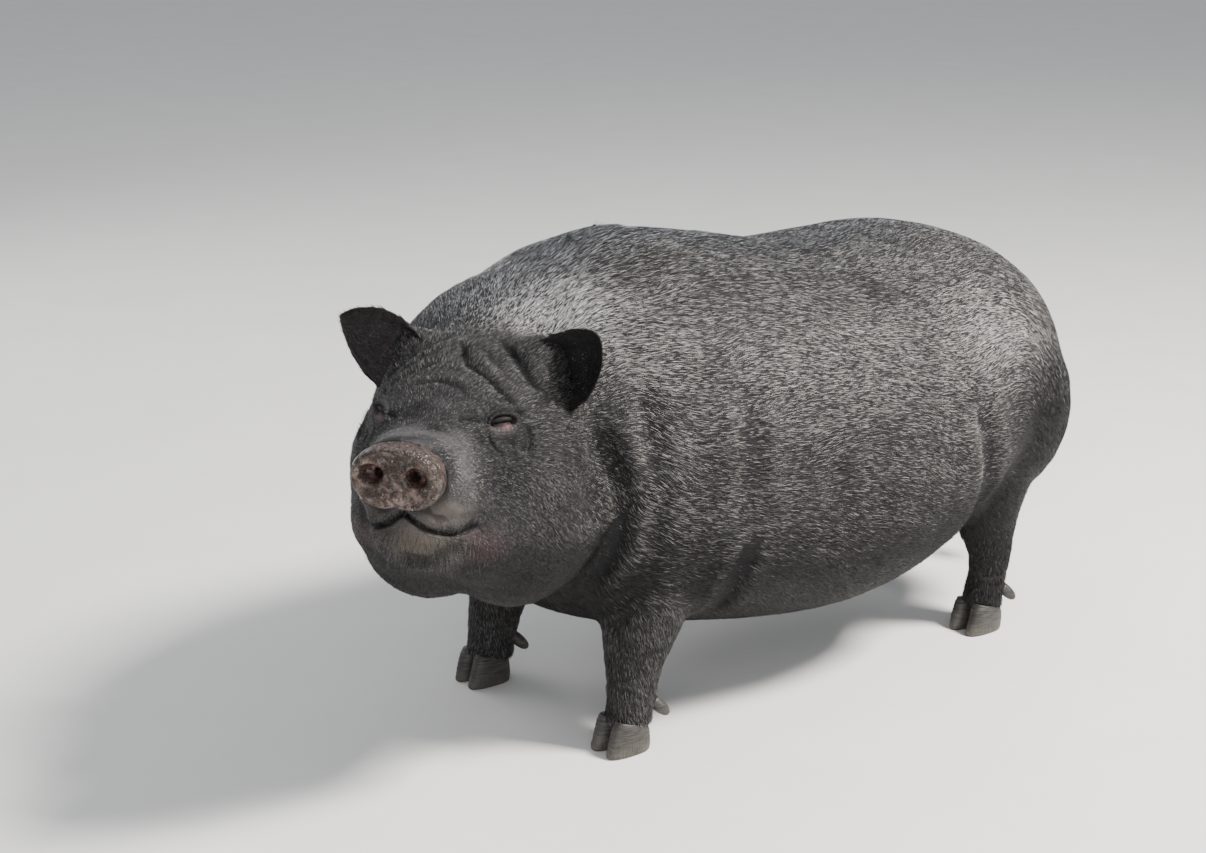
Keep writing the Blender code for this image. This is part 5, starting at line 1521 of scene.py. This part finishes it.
def snout_finish():
    """Moist hide of the disc: pores, blotches, wet spots, and pale dots painted as glints of light on the wet."""
    finish = Finish("pig_snout")
    base = finish.attribute("pelt")
    pores = finish.cells(520.0)
    blotch = finish.noise(190.0, detail=4.0)
    dark = finish.mix(base, (0.012, 0.007, 0.005), 0.75 * blotch.above(0.50, 0.08))
    pale = finish.mix(dark, (0.240, 0.170, 0.140), 0.12 * finish.noise(300.0, detail=4.0).above(0.58, 0.05))
    # pale dots painted as glints of light on the wet disc
    painted_glints = finish.noise(230.0, detail=3.0).above(0.69, 0.03)
    pale = finish.mix(pale, (0.58, 0.50, 0.48), painted_glints * 0.45)
    relief = pores * 0.8 + blotch * 1.0 + finish.noise(900.0, detail=2.0) * 0.3
    wet = finish.noise(150.0, detail=4.0).above(0.55, 0.05)
    return finish.done(Base_Color=pale, Roughness=0.50 - 0.34 * wet, Specular_IOR_Level=0.30,
                       Coat_Weight=wet * 0.6, Coat_Roughness=0.10, Normal=finish.bump(relief, 0.9, 0.0014))


# Eyes

WHITE = (0.012, 0.007, 0.006)
IRIS = (0.006, 0.003, 0.002)
PUPIL = (0.002, 0.002, 0.002)
# Angles from the gaze, with the soft edge of the pupil and of the iris
PUPIL_EDGE = (0.26, 0.34)
IRIS_EDGE = (0.76, 0.86)
# The low cornea: height over the ball and how wide it is
CORNEA = (0.010, 0.50)
EYE_ROWS = 40
EYE_AROUND = 64


def build_eye(name, side):
    """An eyeball with a low cornea, sunk behind the lids."""
    axes = eye_axes(side)
    low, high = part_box(name)
    radius = (high.x - low.x + high.y - low.y + high.z - low.z) / 6 - 0.0001
    rings, tones = [], []
    for k in range(1, EYE_ROWS):
        polar = math.pi * k / EYE_ROWS
        bulge = 1.0 + CORNEA[0] * math.exp(-(polar / CORNEA[1]) ** 2)
        pupil = step_up(-polar, -PUPIL_EDGE[1], -PUPIL_EDGE[0])
        iris = step_up(-polar, -IRIS_EDGE[1], -IRIS_EDGE[0])
        ring = []
        for i in range(EYE_AROUND):
            around = 2 * math.pi * i / EYE_AROUND
            across = math.sin(polar) * math.cos(around)
            up = math.sin(polar) * math.sin(around)
            ring.append((across * radius * bulge, -math.cos(polar) * radius * bulge, up * radius * bulge))
            ray = 0.5 + 0.5 * math.sin(around * 37 + 2.0 * math.sin(around * 11))
            tone = np.array(WHITE) * (1 - iris) + (np.array(IRIS) * (0.6 + 0.8 * ray)) * iris
            tones.append(tone * (1 - pupil) + np.array(PUPIL) * pupil)
        rings.append(ring)
    points = moved(axes, np.array(rings).reshape(-1, 3)).reshape(len(rings), EYE_AROUND, 3)
    mesh = grid_mesh(name + "_ball", points)
    tones += [PUPIL, WHITE]
    paint(mesh, "pelt", np.array(tones))
    item = new_object(name + "_ball", mesh)
    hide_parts(name)
    wear(item, eye_finish(name))
    return item


def eye_finish(name):
    """Wet eye: painted iris under a clear gloss."""
    finish = Finish("pig_" + name)
    base = finish.attribute("pelt")
    vein = finish.noise(700.0, detail=3.0)
    colour = finish.mix(base, (0.060, 0.012, 0.010), 0.25 * vein.above(0.60, 0.05))
    return finish.done(Base_Color=colour, Roughness=0.10 + 0.04 * vein, Coat_Weight=0.30, Coat_Roughness=0.02,
                       Specular_IOR_Level=0.20)


# Claws

CORONET_HEIGHT = 0.030
CORONET_SLOPE = 0.22
CLAW_SPREAD = 0.0135
# Claw rings: share of the height, half width, reach forward, reach back
CLAW_ROWS = ((0.000, 0.0100, 0.0290, 0.0190), (0.020, 0.0108, 0.0300, 0.0200), (0.12, 0.0116, 0.0305, 0.0212),
             (0.55, 0.0122, 0.0262, 0.0218), (0.90, 0.0120, 0.0222, 0.0212), (1.00, 0.0112, 0.0205, 0.0200),
             (1.12, 0.0098, 0.0185, 0.0180))
CLAW_AROUND = 56
# Roundness of a claw's front and back half, and the height of its growth rings and of its bumps
CLAW_ROUND = (0.85, 0.80)
CLAW_RINGS = 0.014
CLAW_BUMPS = 0.018
# Dewclaw rings: distance from its root, radius
DEWCLAW_ROWS = ((0.0, 0.0066), (0.010, 0.0069), (0.018, 0.0056), (0.0225, 0.0032), (0.0238, 0.0010))
DEWCLAW_LENGTH = 0.0235
DEWCLAW_AROUND = 28


def build_claw(name, foot, side, seed):
    """One claw, flat below, ridged, its top tucked under the coronet."""
    rings = []
    count = CLAW_AROUND
    for share, half, forward, back in curve_through(CLAW_ROWS, 6):
        ring = []
        for i in range(count):
            a = 2 * math.pi * i / count
            power = CLAW_ROUND[0] if math.sin(a) >= 0 else CLAW_ROUND[1]
            reach = forward if math.sin(a) >= 0 else back
            across = math.copysign(abs(math.cos(a)) ** power, math.cos(a)) * half
            ahead = math.copysign(abs(math.sin(a)) ** power, math.sin(a)) * reach
            top = (CORONET_HEIGHT + CORONET_SLOPE * ahead) * min(share, 1.12)
            ring.append((across + CLAW_SPREAD * side, -ahead, max(0.0, top)))
        rings.append(ring)
    points = np.array(rings).reshape(-1, 3)
    middle = np.array([CLAW_SPREAD * side, 0.0, 0.0])
    ridge = 1.0 + (CLAW_RINGS * np.sin(points[:, 2] * 1500.0 + 2 * ripple(points, 160.0, seed))
                   + CLAW_BUMPS * ripple(points, 220.0, seed + 1)) * step_up(points[:, 2], 0.001, 0.006)
    points[:, :2] = middle[:2] + (points[:, :2] - middle[:2]) * ridge[:, None]
    world = moved(foot, points).reshape(len(rings), count, 3)
    mesh = grid_mesh(name, world)
    item = new_object(name, mesh)
    wear(item, bpy.data.materials["pig_horn"])
    return item


def build_dewclaw(name, side):
    """A dewclaw pointing down and back, in its CAD solid's place."""
    low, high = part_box(name)
    aim = Vector((0.35 * side, 0.62, -0.70)).normalized()
    across = aim.cross(UP).normalized()
    up = across.cross(aim).normalized()
    end = Vector(((high.x if side > 0 else low.x) - 0.0022 * side, high.y - 0.0018, low.z + 0.0022))
    rings = []
    for distance, radius in curve_through(DEWCLAW_ROWS, 5):
        centre = end + aim * (distance - DEWCLAW_LENGTH)
        turns = [2 * math.pi * i / DEWCLAW_AROUND for i in range(DEWCLAW_AROUND)]
        rings.append([centre + across * math.cos(turn) * radius + up * math.sin(turn) * radius
                      for turn in turns])
    mesh = grid_mesh(name + "_horn", np.array(rings))
    item = new_object(name + "_horn", mesh)
    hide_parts(name)
    wear(item, bpy.data.materials["pig_horn"])
    return item


def horn_finish():
    """Claw horn: dark, banded by growth, scuffed paler toward the ground."""
    finish = Finish("pig_horn")
    bands = finish.noise(1.0, (60.0, 60.0, 700.0), 3.0)
    grain = finish.noise(1.0, (900.0, 900.0, 90.0), 2.0)
    spot = finish.node("ShaderNodeSeparateXYZ", None, {0: finish.place()})
    low = 1.0 - Wire(finish, spot.outputs[2]).above(0.012, 0.012)
    colour = finish.mix((0.014, 0.013, 0.012), (0.048, 0.042, 0.036), bands.above(0.52, 0.14))
    worn = finish.mix(colour, (0.105, 0.092, 0.074), low * grain.above(0.45, 0.20) * 0.6)
    return finish.done(Base_Color=worn, Roughness=0.62 - 0.22 * bands,
                       Normal=finish.bump(bands * 0.8 + grain * 0.5, 0.5, 0.0010))


# Stage and camera

CAMERA_AZIMUTH = math.radians(51.0)
CAMERA_ELEVATION = math.radians(17.5)
CAMERA_DISTANCE = 2.2
CAMERA_AIM = Vector((0.0, 0.022, 0.25))
FRAME_WIDTH, FRAME_HEIGHT = 1206, 853
FOCAL_PIXELS = 1950.0
AIM_PIXEL = (722.0, 452.0)
FLOOR_HALF = 12.0
LIGHT_AIM = (0.0, 0.0, 0.25)
# Place and width of each light
KEY_LIGHT = ((1.8, 1.2, 2.7), 0.7)
FILL_LIGHT = ((2.2, -2.2, 1.5), 2.2)
FAR_LIGHT = ((-2.4, -0.6, 1.8), 1.8)
# Share of the fill's power in the light on the far side
FAR_SHARE = 0.7


def build_camera():
    """Camera where the photograph was taken from."""
    data = bpy.data.cameras.new("camera")
    camera = bpy.data.objects.new("camera", data)
    bpy.context.scene.collection.objects.link(camera)
    back = Vector((math.sin(CAMERA_AZIMUTH) * math.cos(CAMERA_ELEVATION),
                   -math.cos(CAMERA_AZIMUTH) * math.cos(CAMERA_ELEVATION), math.sin(CAMERA_ELEVATION)))
    camera.location = CAMERA_AIM + back * CAMERA_DISTANCE
    camera.rotation_mode = "QUATERNION"
    camera.rotation_quaternion = (-back).to_track_quat("-Z", "Y")
    data.sensor_width = 36.0
    data.lens = FOCAL_PIXELS * data.sensor_width / FRAME_WIDTH
    data.shift_x = (FRAME_WIDTH / 2 - AIM_PIXEL[0]) / FRAME_WIDTH
    data.shift_y = (AIM_PIXEL[1] - FRAME_HEIGHT / 2) / FRAME_WIDTH
    data.clip_start = 0.05
    data.clip_end = 60.0
    bpy.context.scene.camera = camera


def area_light(name, place, size, power, colour=(1.0, 1.0, 1.0)):
    """A soft square light that shines on the animal's middle."""
    data = bpy.data.lights.new(name, "AREA")
    data.size = size
    data.energy = power
    data.color = colour
    lamp = bpy.data.objects.new(name, data)
    bpy.context.scene.collection.objects.link(lamp)
    lamp.location = place
    lamp.rotation_mode = "QUATERNION"
    lamp.rotation_quaternion = (Vector(LIGHT_AIM) - Vector(place)).to_track_quat("-Z", "Y")


def build_stage(settings):
    """Pale floor, soft light from above and behind to the right, fill from the front."""
    size = FLOOR_HALF
    corners = np.array([(-size, -size, 0), (size, -size, 0), (size, size, 0), (-size, size, 0)], dtype=float)
    mesh = mesh_from_arrays("floor", corners, np.arange(4), np.array([0]))
    floor = new_object("floor", mesh)
    finish = Finish("pale_floor")
    grain = finish.noise(6.0, detail=5.0)
    colour = finish.mix(settings.floor_colour[:3], (0.80, 0.79, 0.77), grain)
    mesh.materials.append(finish.done(Base_Color=colour, Roughness=0.85))
    world = bpy.data.worlds.new("studio")
    world.use_nodes = True
    sky = world.node_tree.nodes["Background"]
    sky.inputs["Color"].default_value = (0.86, 0.90, 0.96, 1.0)
    sky.inputs["Strength"].default_value = settings.sky
    bpy.context.scene.world = world
    area_light("key", *KEY_LIGHT, settings.key, (1.0, 0.97, 0.93))
    area_light("fill", *FILL_LIGHT, settings.fill)
    area_light("far_side", *FAR_LIGHT, settings.fill * FAR_SHARE)


# Add-on


class PigSkinSettings(bpy.types.PropertyGroup):
    """Sizes of the skin."""

    voxel: bpy.props.FloatProperty(name="Mesh size", description="Size of the skin's faces on the body",
                                   default=0.0039, min=0.001, unit="LENGTH")
    inset: bpy.props.FloatProperty(name="Coat depth", description="How far the skin lies inside the coat",
                                   default=0.0024, unit="LENGTH")


class PigCoatSettings(bpy.types.PropertyGroup):
    """Sizes of the coat."""

    tufts: bpy.props.IntProperty(name="Tufts", description="Number of tufts over the whole skin",
                                 default=760000)
    length: bpy.props.FloatProperty(name="Length", description="Length of the coat against the usual",
                                    default=1.0, subtype="FACTOR")
    crest_bristles: bpy.props.IntProperty(name="Crest bristles", description="Number of long bristles",
                                          default=6000)
    crest_length: bpy.props.FloatProperty(name="Crest length", description="Full length of a crest bristle, unworn",
                                          default=0.026, unit="LENGTH")


class PigStageSettings(bpy.types.PropertyGroup):
    """Floor and light."""

    floor_colour: bpy.props.FloatVectorProperty(name="Floor colour", description="Colour of the floor",
                                                default=(0.72, 0.71, 0.69), subtype="COLOR", size=3)
    sky: bpy.props.FloatProperty(name="Sky", description="Strength of the light from all round", default=0.55)
    key: bpy.props.FloatProperty(name="Key", description="Power of the main light",
                                 default=340.0, unit="POWER")
    fill: bpy.props.FloatProperty(name="Fill", description="Power of the fill light",
                                  default=40.0, unit="POWER")


class PIG_OT_skin(bpy.types.Operator):
    """Make the skin over the flesh nodes"""

    bl_idname = "pig.skin"
    bl_label = "Skin"

    def execute(self, context):
        build_skin(context.scene.pig_skin)
        return {"FINISHED"}


class PIG_OT_snout(bpy.types.Operator):
    """Make the snout disc"""

    bl_idname = "pig.snout"
    bl_label = "Snout disc"

    def execute(self, context):
        build_snout()
        return {"FINISHED"}


class PIG_OT_eyes(bpy.types.Operator):
    """Make both eyes"""

    bl_idname = "pig.eyes"
    bl_label = "Eyes"

    def execute(self, context):
        for name, side in SIDES:
            build_eye("eye_" + name, side)
        return {"FINISHED"}


class PIG_OT_claws(bpy.types.Operator):
    """Make the claws and dewclaws"""

    bl_idname = "pig.claws"
    bl_label = "Claws"

    def execute(self, context):
        horn_finish()
        for k, (leg, side, x, y) in enumerate(FEET):
            foot = BODY @ Matrix.Translation((x, y, 0.0))
            mirror = 1 if side == "left" else -1
            for place, turn in (("outer", mirror), ("inner", -mirror)):
                tag = "%s_%s_%s" % (leg, side, place)
                piece = build_claw("claw_" + tag, foot, turn, SEED + 40 + k)
                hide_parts("hoof_" + tag)
                build_dewclaw("dewclaw_" + tag, turn)
        return {"FINISHED"}


class PIG_OT_coat(bpy.types.Operator):
    """Make the short coat in pieces"""

    bl_idname = "pig.coat"
    bl_label = "Coat"

    def execute(self, context):
        coat_pieces(context.scene.pig_coat)
        return {"FINISHED"}


class PIG_OT_bristles(bpy.types.Operator):
    """Make the long bristles of the crest, the tail's end and the face"""

    bl_idname = "pig.bristles"
    bl_label = "Long bristles"

    def execute(self, context):
        crest_piece(context.scene.pig_coat)
        tassel_piece()
        face_piece()
        return {"FINISHED"}


class PIG_OT_stage(bpy.types.Operator):
    """Make the floor, the lights and the camera"""

    bl_idname = "pig.stage"
    bl_label = "Stage"

    def execute(self, context):
        build_camera()
        build_stage(context.scene.pig_stage)
        return {"FINISHED"}


OPERATORS = (PIG_OT_stage, PIG_OT_skin, PIG_OT_snout, PIG_OT_eyes, PIG_OT_claws, PIG_OT_coat, PIG_OT_bristles)


class PIG_PT_panel(bpy.types.Panel):
    """Lists the pig's pieces"""

    bl_idname = "PIG_PT_panel"
    bl_label = "Pot-bellied pig"
    bl_space_type = "VIEW_3D"
    bl_region_type = "UI"
    bl_category = "Pig"

    def draw(self, context):
        for operator in OPERATORS:
            self.layout.operator(operator.bl_idname)
        for group in (context.scene.pig_skin, context.scene.pig_coat, context.scene.pig_stage):
            for key in group.__annotations__:
                self.layout.prop(group, key)


GROUPS = (("pig_skin", PigSkinSettings), ("pig_coat", PigCoatSettings), ("pig_stage", PigStageSettings))


def register():
    """Register the classes and hang the settings on the scene."""
    for _, group in GROUPS:
        bpy.utils.register_class(group)
    for operator in OPERATORS:
        bpy.utils.register_class(operator)
    bpy.utils.register_class(PIG_PT_panel)
    for key, group in GROUPS:
        setattr(bpy.types.Scene, key, bpy.props.PointerProperty(type=group))


def unregister():
    """Undo what register did."""
    for key, _ in GROUPS:
        delattr(bpy.types.Scene, key)
    bpy.utils.unregister_class(PIG_PT_panel)
    for operator in reversed(OPERATORS):
        bpy.utils.unregister_class(operator)
    for _, group in reversed(GROUPS):
        bpy.utils.unregister_class(group)


def main():
    """Build every piece in order."""
    register()
    bpy.ops.pig.stage()
    bpy.ops.pig.skin()
    bpy.ops.pig.snout()
    bpy.ops.pig.eyes()
    bpy.ops.pig.claws()
    bpy.ops.pig.coat()
    bpy.ops.pig.bristles()


if __name__ == "__main__":
    main()
